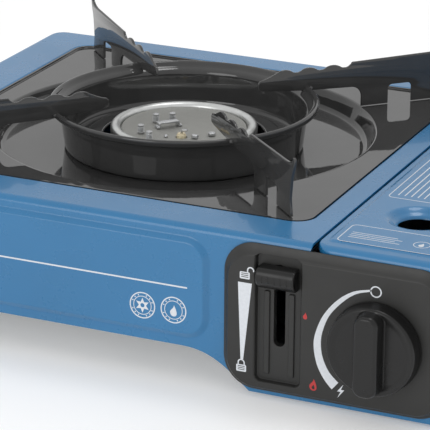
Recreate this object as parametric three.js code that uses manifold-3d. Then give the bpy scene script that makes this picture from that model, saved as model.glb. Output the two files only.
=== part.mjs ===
// A single-burner camping stove that burns gas from a lying cartridge.
// Millimetres, +Z up, +X to the cartridge side, -Y to the front. The origin is on the
// ground, below the middle of the whole stove's box.

import * as THREE from 'three';
import { mergeVertices } from 'three/addons/utils/BufferGeometryUtils.js';
import Module from 'manifold-3d';

const wasm = await Module();
wasm.setup();

// ---------------------------------------------------------------- driving dimensions

const SHEET = 1.2; // thickness of the pressed steel sheet
const GAP = 0.4; // clearance between neighbouring pieces

const CASE = { width: 355, depth: 275, top: 82, bottom: 1.5, corner: 10, edge: 4 };
const HALF_W = CASE.width / 2;
const HALF_D = CASE.depth / 2;
const INNER_TOP = CASE.top - SHEET;

const KNOB_REACH = 20; // how far the knob stands out of the case's front
const SEAM_X = 100.5; // line between the top frame and the cartridge lid

const BURNER = { x: -31, y: 3.4, radius: 39.4, rim: 83 };
const TRAY = { x: -31, y: 2.8, width: 236.2, depth: 226, corner: 10, floor: 81, dish: 71, dishRadius: 103 };
const RING = { lip: 72, foot: 71.4, rim: 96.2 };
const FIN = { inner: 42.4, leg: 103, outer: 151.6, thickness: 1.4, foot: TRAY.floor + GAP, ringEdge: 93.6 };

const ARCH = {
  height: 19.1, floor: 22, right: 33, spring: 69, left: -110, leftSpring: -143, side: 95, sideHeight: 11 };
const BAY = { floor: 8, x: 138, z: 45.5, radius: 33.5 };
const PARTITION_X = 97.5;

const PANEL = { left: 56, right: 171, bottom: 3.7, top: 79, proud: 4, corner: 16, bevel: 3 };
const PANEL_FRONT = -HALF_D - PANEL.proud;
const PANEL_SCREW = { x: { left: 68, right: 150 }, z: 74.6 };
const KNOB = { x: 135.5, z: 37.9, radius: 22.8, grip: 22.2 };

const LEVER = { x: 85, width: 20, travel: 32, handle: 65 };
const CRANK = { y: -97, z: 45, frontArm: 34, topArm: 9.6, swing: 28 };

const PIVOT = { x: SEAM_X + 4.8, z: 78, radius: 1.5, front: -131, back: 131 };

// ---------------------------------------------------------------- finishes

const finish = (color, roughness, metalness) =>
  new THREE.MeshStandardMaterial({ color, roughness, metalness });

const BLUE_PAINT = finish(0x3f8fce, 0.35, 0.1);
const BLACK_ENAMEL = finish(0x121213, 0.12, 0.0);
const BLACK_PLASTIC = finish(0x2b2b2c, 0.45, 0.0);
const GALVANISED = finish(0x9da3a6, 0.5, 0.9);
const ALUMINIUM = finish(0xc9cbcc, 0.35, 1.0);
const STEEL = finish(0xb4b6b8, 0.3, 1.0);
const BRASS = finish(0xb58a3c, 0.35, 1.0);
const ZINC = finish(0x8d9194, 0.55, 0.8);
const CERAMIC = finish(0xe9e2cf, 0.4, 0.0);
const RUBBER = finish(0x1c1c1c, 0.9, 0.0);
const RED_LEAD = finish(0x8e1f1b, 0.6, 0.0);

// ---------------------------------------------------------------- solids

// The library's solid of a closed geometry, without triangles of no area.
function solidOf(geometry) {
  const bare = geometry.clone();
  bare.deleteAttribute('normal');
  bare.deleteAttribute('uv');
  const merged = mergeVertices(bare, 1e-4);
  const corners = merged.index.array;
  const kept = [];
  for (let i = 0; i < corners.length; i += 3) {
    const [a, b, c] = [corners[i], corners[i + 1], corners[i + 2]];
    if (a !== b && b !== c && c !== a) kept.push(a, b, c);
  }
  const vertProperties = new Float32Array(merged.attributes.position.array);
  return new wasm.Manifold(new wasm.Mesh({ numProp: 3, vertProperties, triVerts: new Uint32Array(kept) }));
}

function geometryOf(solid) {
  const { vertProperties, triVerts } = solid.getMesh();
  const geometry = new THREE.BufferGeometry();
  geometry.setAttribute('position', new THREE.BufferAttribute(vertProperties, 3));
  geometry.setIndex(new THREE.BufferAttribute(triVerts, 1));
  geometry.computeVertexNormals();
  return geometry;
}

const joined = (first, ...rest) =>
  geometryOf(rest.reduce((sum, next) => sum.add(solidOf(next)), solidOf(first)));
const cut = (first, ...rest) =>
  geometryOf(rest.reduce((left, next) => left.subtract(solidOf(next)), solidOf(first)));
const common = (first, second) => geometryOf(solidOf(first).intersect(solidOf(second)));

// ---------------------------------------------------------------- basic shapes

function block([x0, y0, z0], [x1, y1, z1]) {
  const box = new THREE.BoxGeometry(x1 - x0, y1 - y0, z1 - z0);
  return box.translate((x0 + x1) / 2, (y0 + y1) / 2, (z0 + z1) / 2);
}

function outline(points) {
  return new THREE.Shape(points.map(([u, v]) => new THREE.Vector2(u, v)));
}

function roundedBox2D(u0, v0, u1, v1, radius) {
  const shape = new THREE.Shape();
  shape.moveTo(u0 + radius, v0);
  shape.lineTo(u1 - radius, v0);
  shape.absarc(u1 - radius, v0 + radius, radius, -Math.PI / 2, 0);
  shape.lineTo(u1, v1 - radius);
  shape.absarc(u1 - radius, v1 - radius, radius, 0, Math.PI / 2);
  shape.lineTo(u0 + radius, v1);
  shape.absarc(u0 + radius, v1 - radius, radius, Math.PI / 2, Math.PI);
  shape.lineTo(u0, v0 + radius);
  shape.absarc(u0 + radius, v0 + radius, radius, Math.PI, Math.PI * 1.5);
  return shape;
}

// A bevel of [thickness, size] leaves the outline's full size at the middle.
function extruded(shape, depth, bevel, curveSegments) {
  if (!bevel) return new THREE.ExtrudeGeometry(shape, { depth, bevelEnabled: false, curveSegments });
  const [bevelThickness, bevelSize] = bevel;
  const options = { depth: depth - 2 * bevelThickness, bevelThickness, bevelSize, bevelOffset: -bevelSize };
  const geometry = new THREE.ExtrudeGeometry(shape, { ...options, bevelSegments: 2, curveSegments });
  return geometry.translate(0, 0, bevelThickness);
}

// Shapes drawn in XY, XZ and YZ, and extruded along Z, Y and X.
const prismZ = (shape, z0, z1, bevel, segments = 4) =>
  extruded(shape, z1 - z0, bevel, segments).translate(0, 0, z0);
const prismY = (shape, y0, y1, bevel, segments = 4) =>
  extruded(shape, y1 - y0, bevel, segments).rotateX(Math.PI / 2).translate(0, y1, 0);

function prismX(shape, x0, x1, segments = 5) {
  const turn = new THREE.Matrix4().makeBasis(
    new THREE.Vector3(0, 1, 0), new THREE.Vector3(0, 0, 1), new THREE.Vector3(1, 0, 0));
  return extruded(shape, x1 - x0, null, segments).applyMatrix4(turn).translate(x0, 0, 0);
}

// A body of revolution about Z from [radius, height] points, anticlockwise.
function turned(profile, segments = 32) {
  const closed = profile[0][0] > 0 ? [...profile, profile[0]] : profile;
  const points = closed.map(([radius, height]) => new THREE.Vector2(radius, height));
  return new THREE.LatheGeometry(points, segments).rotateX(Math.PI / 2);
}

function rodZ(radius, z0, z1, segments = 16) {
  const rod = new THREE.CylinderGeometry(radius, radius, z1 - z0, segments);
  return rod.rotateX(Math.PI / 2).translate(0, 0, (z0 + z1) / 2);
}

const rodY = (radius, y0, y1, segments = 16) =>
  new THREE.CylinderGeometry(radius, radius, y1 - y0, segments).translate(0, (y0 + y1) / 2, 0);
const rodX = (radius, x0, x1, segments = 16) =>
  new THREE.CylinderGeometry(radius, radius, x1 - x0, segments)
    .rotateZ(Math.PI / 2).translate((x0 + x1) / 2, 0, 0);

// A tube or wire through points; a bore makes it hollow.
function tube(points, radius, { bore = 0, sides = 8, steps = 24 } = {}) {
  const section = new THREE.Shape().absarc(0, 0, radius, 0, Math.PI * 2);
  if (bore) section.holes.push(new THREE.Path().absarc(0, 0, bore, 0, Math.PI * 2, true));
  const path = new THREE.CatmullRomCurve3(points.map((p) => new THREE.Vector3(...p)), false, 'centripetal');
  return new THREE.ExtrudeGeometry(section, { steps, extrudePath: path, curveSegments: sides });
}

// ---------------------------------------------------------------- assembly

const stove = new THREE.Group();
stove.position.set(0, KNOB_REACH / 2, 0);

const burnerGroup = new THREE.Group();
burnerGroup.position.set(BURNER.x, BURNER.y, 0);
stove.add(burnerGroup);

function add(parent, name, geometry, material) {
  const mesh = new THREE.Mesh(geometry, material);
  mesh.name = name;
  parent.add(mesh);
  return mesh;
}

// ---------------------------------------------------------------- case

const caseOutline = (inset) => roundedBox2D(
  -HALF_W + inset, -HALF_D + inset, HALF_W - inset, HALF_D - inset, CASE.corner - inset);

// The pressed case with rounded top edges, smaller all round by the inset.
const pressedForm = (inset) => prismZ(
  caseOutline(inset), -CASE.corner, CASE.top - inset, [CASE.edge - inset, CASE.edge - inset]);

const belowCase = () => block(
  [-HALF_W - 1, -HALF_D - 1, -CASE.corner - 1], [HALF_W + 1, HALF_D + 1, CASE.bottom]);

const FRONT_FIELD = { left: -150, right: 47.5, bottom: 24, top: 76, corner: 12, proud: 2.2, slope: 3 };

// The low raised field on the front wall.
function frontField(inset) {
  const { left, right, bottom, top, corner, proud, slope } = FRONT_FIELD;
  const shape = roundedBox2D(left + inset, bottom + inset, right - inset, top - inset, corner);
  const wall = -HALF_D + inset;
  return prismY(shape, wall - proud, wall + slope * 2, [proud, slope]);
}

function pressedCase() {
  const skin = joined(pressedForm(0), frontField(0));
  const hollow = joined(pressedForm(SHEET), frontField(SHEET));
  return cut(skin, hollow, belowCase());
}

// The space below the front or back edge, between the legs.
function archOutline() {
  const { height, right, spring, left, leftSpring } = ARCH;
  const shape = new THREE.Shape();
  shape.moveTo(leftSpring, -1);
  shape.lineTo(leftSpring, CASE.bottom);
  shape.bezierCurveTo(leftSpring + 12, CASE.bottom + 10, left - 14, height, left, height);
  shape.lineTo(right, height);
  shape.bezierCurveTo(right + 16, height, right + 24, CASE.bottom + 10, spring, CASE.bottom);
  shape.lineTo(spring, -1);
  return shape;
}

const LID_SPLIT = { skirt: 78, flap: 38, flapEnd: 121.5 };

// The part of space that belongs to the lid, larger by the given margin.
function lidSpace(margin) {
  const top = block(
    [SEAM_X - margin, -HALF_D - 2, LID_SPLIT.skirt - margin], [HALF_W + 2, HALF_D + 2, CASE.top + 2]);
  const flapEnd = LID_SPLIT.flapEnd + margin;
  const flap = block(
    [HALF_W - CASE.edge * 2, -flapEnd, LID_SPLIT.flap - margin], [HALF_W + 2, flapEnd, CASE.top + 2]);
  return joined(top, flap);
}

const FOOT = { inset: 17, flange: 2.7, hole: 3, neck: 2.5, pad: 8, head: 4.2, top: 7 };
const FOOT_X = HALF_W - FOOT.inset;
const FOOT_Y = HALF_D - FOOT.inset;
const CORNERS = [['front_left', -1, -1], ['front_right', 1, -1], ['back_left', -1, 1], ['back_right', 1, 1]];
const SIDE_SCREW = { y: 90, z: 29, shank: 1.5, hole: 1.9, head: 3.2, length: 7.6 };

// A corner plate that closes the bottom of a leg and holds its rubber foot.
function legPlate(sideX, sideY) {
  const reach = 26;
  const plate = common(
    prismZ(caseOutline(SHEET / 2), FOOT.flange, FOOT.flange + SHEET),
    block([-reach, -reach, 0], [reach, reach, FOOT.top]).translate(sideX * HALF_W, sideY * HALF_D, 0));
  const hole = rodZ(FOOT.hole, 0, FOOT.top).translate(sideX * FOOT_X, sideY * FOOT_Y, 0);
  return cut(plate, hole);
}

// The rectangle of the tray's opening, smaller by the inset.
const openingOutline = (inset) => roundedBox2D(
  TRAY.x - TRAY.width / 2 + inset, TRAY.y - TRAY.depth / 2 + inset,
  TRAY.x + TRAY.width / 2 - inset, TRAY.y + TRAY.depth / 2 - inset, TRAY.corner - inset);

const COLLAR_BOTTOM = CASE.top - 3.6;
const COLLAR_LEDGE = 3;

// The opening's turned-down edge, with an inward ledge that the tray rests on.
function trayCollar() {
  const collar = prismZ(openingOutline(-SHEET), COLLAR_BOTTOM, CASE.top - SHEET / 2);
  const through = prismZ(openingOutline(COLLAR_LEDGE), COLLAR_BOTTOM - 2, CASE.top + 2);
  const aboveLedge = prismZ(openingOutline(0), COLLAR_BOTTOM + SHEET, CASE.top + 2);
  return cut(collar, through, aboveLedge);
}

function caseShell() {
  const trayHole = prismZ(openingOutline(0), COLLAR_BOTTOM - 4, CASE.top + 2);
  const frame = joined(cut(pressedCase(), trayHole), trayCollar());
  const arch = prismY(archOutline(), -HALF_D - 4, HALF_D + 4);
  const sideArch = prismX(
    roundedBox2D(-ARCH.side, -ARCH.sideHeight, ARCH.side, ARCH.sideHeight, 9), -HALF_W - 4, HALF_W + 4);
  const controlOutline = roundedBox2D(
    PANEL.left + 5, PANEL.bottom + 6, PANEL.right - 5, PANEL.top - 8, 8);
  const controls = prismY(controlOutline, -HALF_D - 4, -HALF_D + 4);
  const pivotRooms = [-1, 1].map((side) =>
    rodY(5.6, side * HALF_D - 4, side * HALF_D + 4).translate(PIVOT.x, 0, PIVOT.z));
  const opened = cut(frame, lidSpace(GAP), arch, sideArch, controls, ...pivotRooms);

  const plates = CORNERS.map(([, sideX, sideY]) => legPlate(sideX, sideY));
  const screwHoles = [-1, 1].map((sideY) =>
    rodX(SIDE_SCREW.hole, -HALF_W - 4, HALF_W + 4, 10).translate(0, sideY * SIDE_SCREW.y, SIDE_SCREW.z));
  const panelHoles = Object.values(PANEL_SCREW.x).map((x) =>
    rodY(1.8, -HALF_D - 4, -HALF_D + 4, 10).translate(x, 0, PANEL_SCREW.z));
  return cut(joined(opened, ...plates), ...screwHoles, ...panelHoles);
}

add(stove, 'body_shell', caseShell(), BLUE_PAINT);

// ---------------------------------------------------------------- inner sheet metal

// One stepped sheet: high below the burner, low below the cartridge, turned up at both ends.
function basePlate() {
  const thickness = 1;
  const end = HALF_W - SHEET - GAP;
  const flangeTop = SIDE_SCREW.z + 5;
  const [stepHigh, stepLow] = [ARCH.right + 4, ARCH.spring + 6];
  const shape = new THREE.Shape();
  shape.moveTo(-end, flangeTop);
  shape.lineTo(-end, ARCH.floor);
  shape.lineTo(stepHigh, ARCH.floor);
  shape.bezierCurveTo(stepHigh + 16, ARCH.floor, stepLow - 22, BAY.floor, stepLow, BAY.floor);
  shape.lineTo(end, BAY.floor);
  shape.lineTo(end, flangeTop);
  shape.lineTo(end - thickness, flangeTop);
  shape.lineTo(end - thickness, BAY.floor + thickness);
  shape.lineTo(stepLow, BAY.floor + thickness);
  shape.bezierCurveTo(
    stepLow - 22, BAY.floor + thickness, stepHigh + 16, ARCH.floor + thickness,
    stepHigh, ARCH.floor + thickness);
  shape.lineTo(-end + thickness, ARCH.floor + thickness);
  shape.lineTo(-end + thickness, flangeTop);
  const sheet = prismY(shape, -HALF_D, HALF_D, null, 6);
  const fitted = common(sheet, prismZ(caseOutline(SHEET + GAP), 0, 60));
  const screwHoles = [-1, 1].map((sideY) =>
    rodX(SIDE_SCREW.hole, -HALF_W, HALF_W, 10).translate(0, sideY * SIDE_SCREW.y, SIDE_SCREW.z));
  return cut(fitted, ...screwHoles);
}

add(stove, 'base_plate', basePlate(), GALVANISED);

const GAS_TUBE = { y: -108, z: 24, radius: 7, bore: 6 };
const LEAD_HOLE = { y: -115, z: 70.8 };
const HEAT_PLATE = { y0: 45, y1: 85, z: 66, thickness: 1.2 };

// The wall between the burner and the cartridge, with ears for the lid's hinge pins.
function partition() {
  const [front, back] = [-HALF_D + 4, HALF_D - SHEET - GAP];
  const x1 = PARTITION_X + SHEET;
  const wall = block([PARTITION_X, front, BAY.floor + 1 + GAP], [x1, back, INNER_TOP - 3.2]);
  const earOutline = new THREE.Shape();
  earOutline.moveTo(x1 - 0.3, 69.2);
  earOutline.lineTo(PIVOT.x + 2.2, 71.5);
  earOutline.absarc(PIVOT.x, PIVOT.z, 2.3, 0, Math.PI, false);
  earOutline.lineTo(PIVOT.x - 2.2, 72.2);
  earOutline.lineTo(x1 - 0.3, 72.2);
  const frontEar = prismY(earOutline, PIVOT.front + 2, PIVOT.front + 3.2);
  const backEar = prismY(earOutline, PIVOT.back - 3.2, PIVOT.back - 2);
  const pinHole = rodY(PIVOT.radius + 0.05, -HALF_D, HALF_D, 12).translate(PIVOT.x, 0, PIVOT.z);
  const tubeHole = rodX(9.5, PARTITION_X - 2, x1 + 2).translate(0, GAS_TUBE.y + 1, GAS_TUBE.z);
  const heatSlot = block(
    [PARTITION_X - 2, HEAT_PLATE.y0 - 1, HEAT_PLATE.z - 1], [x1 + 2, HEAT_PLATE.y1 + 1, HEAT_PLATE.z + 3]);
  const leverNotch = block([PARTITION_X - 2, front - 1, 5], [x1 + 2, -122, 68]);
  const crankHole = rodX(2.4, PARTITION_X - 2, x1 + 2, 12).translate(0, CRANK.y, CRANK.z);
  const leadHole = rodX(1.8, PARTITION_X - 2, x1 + 2, 10).translate(0, LEAD_HOLE.y, LEAD_HOLE.z);
  return cut(joined(wall, frontEar, backEar), pinHole, tubeHole, heatSlot, leverNotch, crankHole, leadHole);
}

add(stove, 'partition_plate', partition(), GALVANISED);

// A trough that carries the lying cartridge, with two feet on the base.
function cartridgeCradle() {
  const inner = BAY.radius + 1;
  const outer = inner + 1;
  const [from, to] = [THREE.MathUtils.degToRad(222), THREE.MathUtils.degToRad(318)];
  const shape = new THREE.Shape();
  shape.absarc(BAY.x, BAY.z, outer, from, to, false);
  shape.absarc(BAY.x, BAY.z, inner, to, from, true);
  const trough = prismY(shape, -60, 108, null, 14);
  const footZ = BAY.floor + 1 + GAP;
  const reach = 24;
  const footTop = BAY.z - Math.sqrt(inner * inner - reach * reach) - 0.4;
  const feet = [-1, 1].map((side) => {
    const centre = BAY.x + side * reach;
    return block([centre - 0.6, -50, footZ], [centre + 0.6, 98, footTop]);
  });
  return joined(trough, ...feet);
}

add(stove, 'cartridge_cradle', cartridgeCradle(), GALVANISED);

// Aluminium strip that warms the cartridge from the burner.
function heatPlate() {
  const { y0, y1, z, thickness } = HEAT_PLATE;
  const inner = BAY.radius + 1.8;
  const outer = inner + thickness;
  const end = Math.PI * 1.02;
  const outerStart = Math.PI - Math.asin((z - BAY.z) / outer);
  const innerStart = Math.PI - Math.asin((z + thickness - BAY.z) / inner);
  const shape = new THREE.Shape();
  shape.moveTo(BURNER.x + 8, z + thickness);
  shape.lineTo(BURNER.x + 8, z);
  shape.absarc(BAY.x, BAY.z, outer, outerStart, end, false);
  shape.absarc(BAY.x, BAY.z, inner, end, innerStart, true);
  return prismY(shape, y0, y1, null, 8);
}

add(stove, 'heat_plate', heatPlate(), ALUMINIUM);

for (const [corner, sideX, sideY] of CORNERS) {
  const { flange, neck, pad, head, top } = FOOT;
  const above = flange + SHEET + GAP;
  const foot = turned([
    [0, 0], [pad - 1, 0], [pad, 1], [pad, flange - GAP], [neck, flange - GAP],
    [neck, above], [head, above], [neck, top - 0.4], [0, top]], 14);
  const mesh = add(stove, `foot_${corner}`, foot, RUBBER);
  mesh.position.set(sideX * FOOT_X, sideY * FOOT_Y, 0);
}

for (const [corner, sideX, sideY] of CORNERS) {
  const screw = turned([
    [0, 0], [SIDE_SCREW.shank, 0], [SIDE_SCREW.shank, SIDE_SCREW.length - 1.5],
    [SIDE_SCREW.head, SIDE_SCREW.length - 1.5], [SIDE_SCREW.head - 0.6, SIDE_SCREW.length - 0.4],
    [0, SIDE_SCREW.length]], 10);
  const mesh = add(stove, `base_screw_${corner}`, screw, STEEL);
  mesh.rotation.y = sideX * Math.PI / 2;
  mesh.position.set(sideX * (HALF_W - 5.8), sideY * SIDE_SCREW.y, SIDE_SCREW.z);
}

// ---------------------------------------------------------------- drip tray and pan support

// Rounded box of the tray's outline, smaller by the inset and with its own corner.
const trayOutline = (inset) => roundedBox2D(
  TRAY.x - BURNER.x - TRAY.width / 2 + inset, TRAY.y - BURNER.y - TRAY.depth / 2 + inset,
  TRAY.x - BURNER.x + TRAY.width / 2 - inset, TRAY.y - BURNER.y + TRAY.depth / 2 - inset,
  Math.max(TRAY.corner - inset, 3));

const TRAY_SHEET = 1;
const TRAY_HOLE = 43.5;

// A flat sheet with a low lip, a round dish pressed into it and a raised hole for the burner.
function dripTray() {
  const { floor, dish, dishRadius } = TRAY;
  const facets = 48;
  const under = floor - TRAY_SHEET;
  const blank = prismZ(trayOutline(GAP), under, CASE.top);
  const lipSpace = prismZ(trayOutline(GAP + 1.4), floor, CASE.top + 2);
  const dishSpace = rodZ(dishRadius + 1, under - 2, CASE.top, facets);
  const pressing = turned([
    [TRAY_HOLE, 76], [50.5, 76], [53, 73.5], [55.5, dish - TRAY_SHEET],
    [dishRadius - 7, dish - TRAY_SHEET], [dishRadius - 3.4, dish + 0.6], [dishRadius - 0.4, under],
    [dishRadius + 2, under], [dishRadius + 2, floor], [dishRadius, floor],
    [dishRadius - 1.6, floor - 0.8], [dishRadius - 4.8, dish + 1.8], [dishRadius - 8, dish],
    [56.5, dish], [54, 74.5], [51.5, 77], [TRAY_HOLE, 77]], facets);
  return joined(cut(blank, lipSpace, dishSpace), pressing);
}

add(burnerGroup, 'drip_tray', dripTray(), BLACK_ENAMEL);

const FIN_ANGLES = { front_left: 225, front_right: 315, back_left: 135, back_right: 45 };

// A pressed ring: an overhanging lip, a wall that narrows downwards and a flange turned inwards.
function supportRing() {
  const { lip, foot, rim } = RING;
  const ring = turned([
    [57, foot], [64, foot], [64.1, foot + 1.6], [65, 81], [66, 90], [67.2, 91.6],
    [lip - 0.8, rim - 4], [lip, rim - 3.2], [lip, rim - 0.8], [lip - 0.8, rim], [lip - 1.8, rim],
    [lip - 2.6, rim - 0.8], [lip - 3.2, 93.6], [65.6, 92.4], [64.8, 90], [63.8, 81],
    [62.8, 75], [61.8, foot + 2.2], [59.5, foot + 1.2], [57, foot + 1]], 40);
  const half = FIN.thickness / 2 + GAP;
  const notch = (angle) => block([60, -half, FIN.ringEdge - GAP], [lip + 4, half, rim + 2])
    .rotateZ(THREE.MathUtils.degToRad(angle));
  return cut(ring, ...Object.values(FIN_ANGLES).map(notch));
}

add(burnerGroup, 'support_ring', supportRing(), BLACK_ENAMEL);

// One radial pan support, drawn in the plane of radius and height. It stands on two feet.
function supportFin() {
  const { inner, leg, outer, foot, ringEdge, thickness } = FIN;
  const notch = { left: 119, right: 133, top: 92, corner: 3 };
  const shape = new THREE.Shape();
  shape.moveTo(inner, 96.4);
  shape.lineTo(69, ringEdge);
  shape.lineTo(leg - 6, 92.6);
  shape.quadraticCurveTo(leg, 92.4, leg, 87.6);
  shape.lineTo(leg, foot);
  shape.lineTo(notch.left, foot);
  shape.lineTo(notch.left, notch.top - notch.corner);
  shape.quadraticCurveTo(notch.left, notch.top, notch.left + notch.corner, notch.top);
  shape.lineTo(notch.right - notch.corner, notch.top);
  shape.quadraticCurveTo(notch.right, notch.top, notch.right, notch.top - notch.corner);
  shape.lineTo(notch.right, foot);
  shape.lineTo(outer, foot);
  shape.lineTo(outer - 1.6, 90);
  shape.lineTo(outer, 100);
  shape.lineTo(outer + 3.4, 109);
  shape.lineTo(outer + 3.2, 112);
  shape.lineTo(outer + 1, 112.4);
  shape.quadraticCurveTo(outer - 2, 108.6, outer - 7, 108.2);
  shape.lineTo(98, 106.8);
  const [pitch, crest, trough] = [14.2, 106.6, 104.4];
  for (let tooth = 0; tooth < 3; tooth += 1) {
    const right = 93 - tooth * pitch;
    shape.lineTo(right + 1.2, trough);
    shape.lineTo(right - 1.2, trough);
    shape.quadraticCurveTo(right - pitch / 2, crest, right - pitch + 2.4, trough + 0.7);
  }
  shape.lineTo(inner + 3, 101.6);
  shape.lineTo(inner, 101);
  return prismY(shape, -thickness / 2, thickness / 2, null, 4);
}

for (const [corner, angle] of Object.entries(FIN_ANGLES)) {
  const fin = add(burnerGroup, `support_fin_${corner}`, supportFin(), BLACK_ENAMEL);
  fin.rotation.z = THREE.MathUtils.degToRad(angle);
}

// ---------------------------------------------------------------- burner

const BOWL = { floor: 66, ledge: 79.6, inner: 34, under: 62 };
const ELECTRODE = { x: 6.6, y: -17.6, radius: 2.6, top: 83.2 };
const STAND_SCREWS = [['left', -24, -10], ['right', 24, 0]];

function burnerBowl() {
  const { radius, rim } = BURNER;
  const { floor, ledge, inner, under } = BOWL;
  const bowl = turned([
    [0, under], [30, under], [radius - 3, under + 5], [radius, under + 8], [radius, rim - 2.4],
    [radius - 0.8, rim - 0.8], [radius - 2.2, rim], [inner + 2, rim], [inner + 0.8, rim - 0.6],
    [inner, rim - 1.8], [inner, ledge], [inner - 2, ledge], [inner - 2, floor], [0, floor]], 36);
  const drilled = (bore, x, y) => rodZ(bore, under - 4, floor + 4, 16).translate(x, y, 0);
  const inlet = drilled(GAS_TUBE.radius + 0.4, -12, 8);
  const electrodeHole = drilled(ELECTRODE.radius + 0.5, ELECTRODE.x, ELECTRODE.y);
  const screwHoles = STAND_SCREWS.map(([, x, y]) =>
    rodZ(1.8, under - 4, under + 3, 10).translate(x, y, 0));
  return cut(bowl, inlet, electrodeHole, ...screwHoles);
}

add(burnerGroup, 'burner_bowl', burnerBowl(), ALUMINIUM);

// The finely perforated plate that the flames stand on, drawn without its pores.
function flamePlate() {
  const z0 = BOWL.ledge + GAP;
  const plate = rodZ(BOWL.inner - GAP, z0, z0 + 1, 36);
  const { x, y, radius } = ELECTRODE;
  const electrodeHole = rodZ(radius + 0.5, z0 - 2, z0 + 3, 12).translate(x, y, 0);
  return cut(plate, electrodeHole);
}

add(burnerGroup, 'flame_plate', flamePlate(), ALUMINIUM);

const PLATE_TOP = BOWL.ledge + GAP + 1;
const POSTS = [[-15.4, -21.1], [-6.6, -29.4], [-16.2, -0.8], [-8.9, 4.4]];
POSTS.forEach(([x, y], index) => {
  const post = turned([[0, 0], [1.9, 0], [1.9, 3.8], [1.3, 4.5], [0, 4.7]], 10);
  add(burnerGroup, `burner_post_${index + 1}`, post, STEEL).position.set(x, y, PLATE_TOP + GAP);
});

const groundPost = block([-1.8, -1.1, 0], [1.8, 1.1, 2]);
add(burnerGroup, 'ground_post', groundPost, STEEL).position.set(14.3, -17.3, PLATE_TOP + GAP);

const screwHead = turned([[0, 0], [2, 0], [2, 1], [1.5, 1.6], [0.9, 1.6], [0.9, 0.9], [0, 0.9]], 12);
add(burnerGroup, 'plate_screw', screwHead, STEEL).position.set(20.4, -9.2, PLATE_TOP + GAP);

const rivet = turned([[0, 0], [1.1, 0], [0.8, 0.9], [0, 1.2]], 10);
add(burnerGroup, 'plate_rivet', rivet, STEEL).position.set(-0.6, -21.4, PLATE_TOP + GAP);

// A small bracket bar beside the electrode.
function flameBridge() {
  const shape = outline([
    [-7.2, 0], [-5, 0], [-5, 2.3], [5, 2.3], [5, 0], [7.2, 0], [7.2, 0.9], [5.9, 0.9], [5.9, 3.1],
    [-5.9, 3.1], [-5.9, 0.9], [-7.2, 0.9]]);
  return prismY(shape, -2.2, 2.2);
}

const bridge = add(burnerGroup, 'flame_bridge', flameBridge(), STEEL);
bridge.position.set(-6.8, -5.3, PLATE_TOP + GAP);
bridge.rotation.z = THREE.MathUtils.degToRad(48.7);

// Two stands carry the bowl above the base plate.
function burnerStand() {
  const bottom = ARCH.floor + 1 + GAP;
  const top = BOWL.under - GAP;
  const shape = outline([
    [-5, bottom], [9, bottom], [9, bottom + 1.2], [1.2, bottom + 1.2], [1.2, top - 1.2],
    [9, top - 1.2], [9, top], [0, top], [0, bottom + 1.2], [-5, bottom + 1.2]]);
  const stand = prismY(shape, -21, 1);
  return cut(stand, rodZ(1.8, top - 3, top + 2, 10).translate(5, -10, 0));
}

for (const [side, x, y] of STAND_SCREWS) {
  const stand = add(burnerGroup, `burner_stand_${side}`, burnerStand(), GALVANISED);
  const sign = Math.sign(x);
  stand.position.set(x + sign * 5, y - sign * 10, 0);
  if (sign > 0) stand.rotation.z = Math.PI;
  const screw = turned([[0, 0], [3, 0], [3, 1.8], [1.5, 1.8], [1.5, 5.4], [0, 5.8]], 10);
  add(burnerGroup, `burner_screw_${side}`, screw, STEEL).position.set(x, y, BOWL.under - 3.4);
}

const MIXER_MOUTH = [PARTITION_X + 4.5, GAS_TUBE.y, GAS_TUBE.z];
const MIXER_END = [BURNER.x - 12, BURNER.y + 8, BOWL.floor - 1];
const mixer = tube([
  MIXER_MOUTH, [PARTITION_X - 8, GAS_TUBE.y + 2, GAS_TUBE.z + 1], [56, -84, 32], [10, -46, 33], [-28, -8, 33],
  [MIXER_END[0] + 1, MIXER_END[1] - 2, 41], [MIXER_END[0], MIXER_END[1], 52], MIXER_END],
GAS_TUBE.radius, { bore: GAS_TUBE.bore, sides: 5, steps: 24 });
add(stove, 'mixing_tube', mixer, STEEL);

// ---------------------------------------------------------------- ignition

const electrodeGroup = new THREE.Group();
electrodeGroup.position.set(ELECTRODE.x, ELECTRODE.y, 0);
burnerGroup.add(electrodeGroup);

const sleeve = turned([
  [0.9, 56], [ELECTRODE.radius, 56], [ELECTRODE.radius, ELECTRODE.top - 1], [2, ELECTRODE.top],
  [0.9, ELECTRODE.top]], 12);
add(electrodeGroup, 'electrode_sleeve', sleeve, CERAMIC);
const pin = tube([
  [0, 0, 55], [0, 0, ELECTRODE.top], [0.4, 0, ELECTRODE.top + 1.4], [3.4, 0, ELECTRODE.top + 2]],
0.6, { sides: 3, steps: 12 });
add(electrodeGroup, 'electrode_pin', pin, STEEL);

const PIEZO = { y: -127.5, z: KNOB.z, x0: 153, x1: 172, radius: 5 };

const piezoBody = turned([
  [0, 0], [PIEZO.radius, 0], [PIEZO.radius, PIEZO.x1 - PIEZO.x0], [3, PIEZO.x1 - PIEZO.x0],
  [3, 6], [0, 6]], 16);
const piezo = add(stove, 'piezo_body', piezoBody, BLACK_PLASTIC);
piezo.rotation.y = -Math.PI / 2;
piezo.position.set(PIEZO.x1, PIEZO.y, PIEZO.z);
const plunger = rodX(2.5, 146.6, PIEZO.x1 - 10.4, 14).translate(0, PIEZO.y, PIEZO.z);
add(stove, 'piezo_plunger', plunger, BLACK_PLASTIC);

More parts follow.
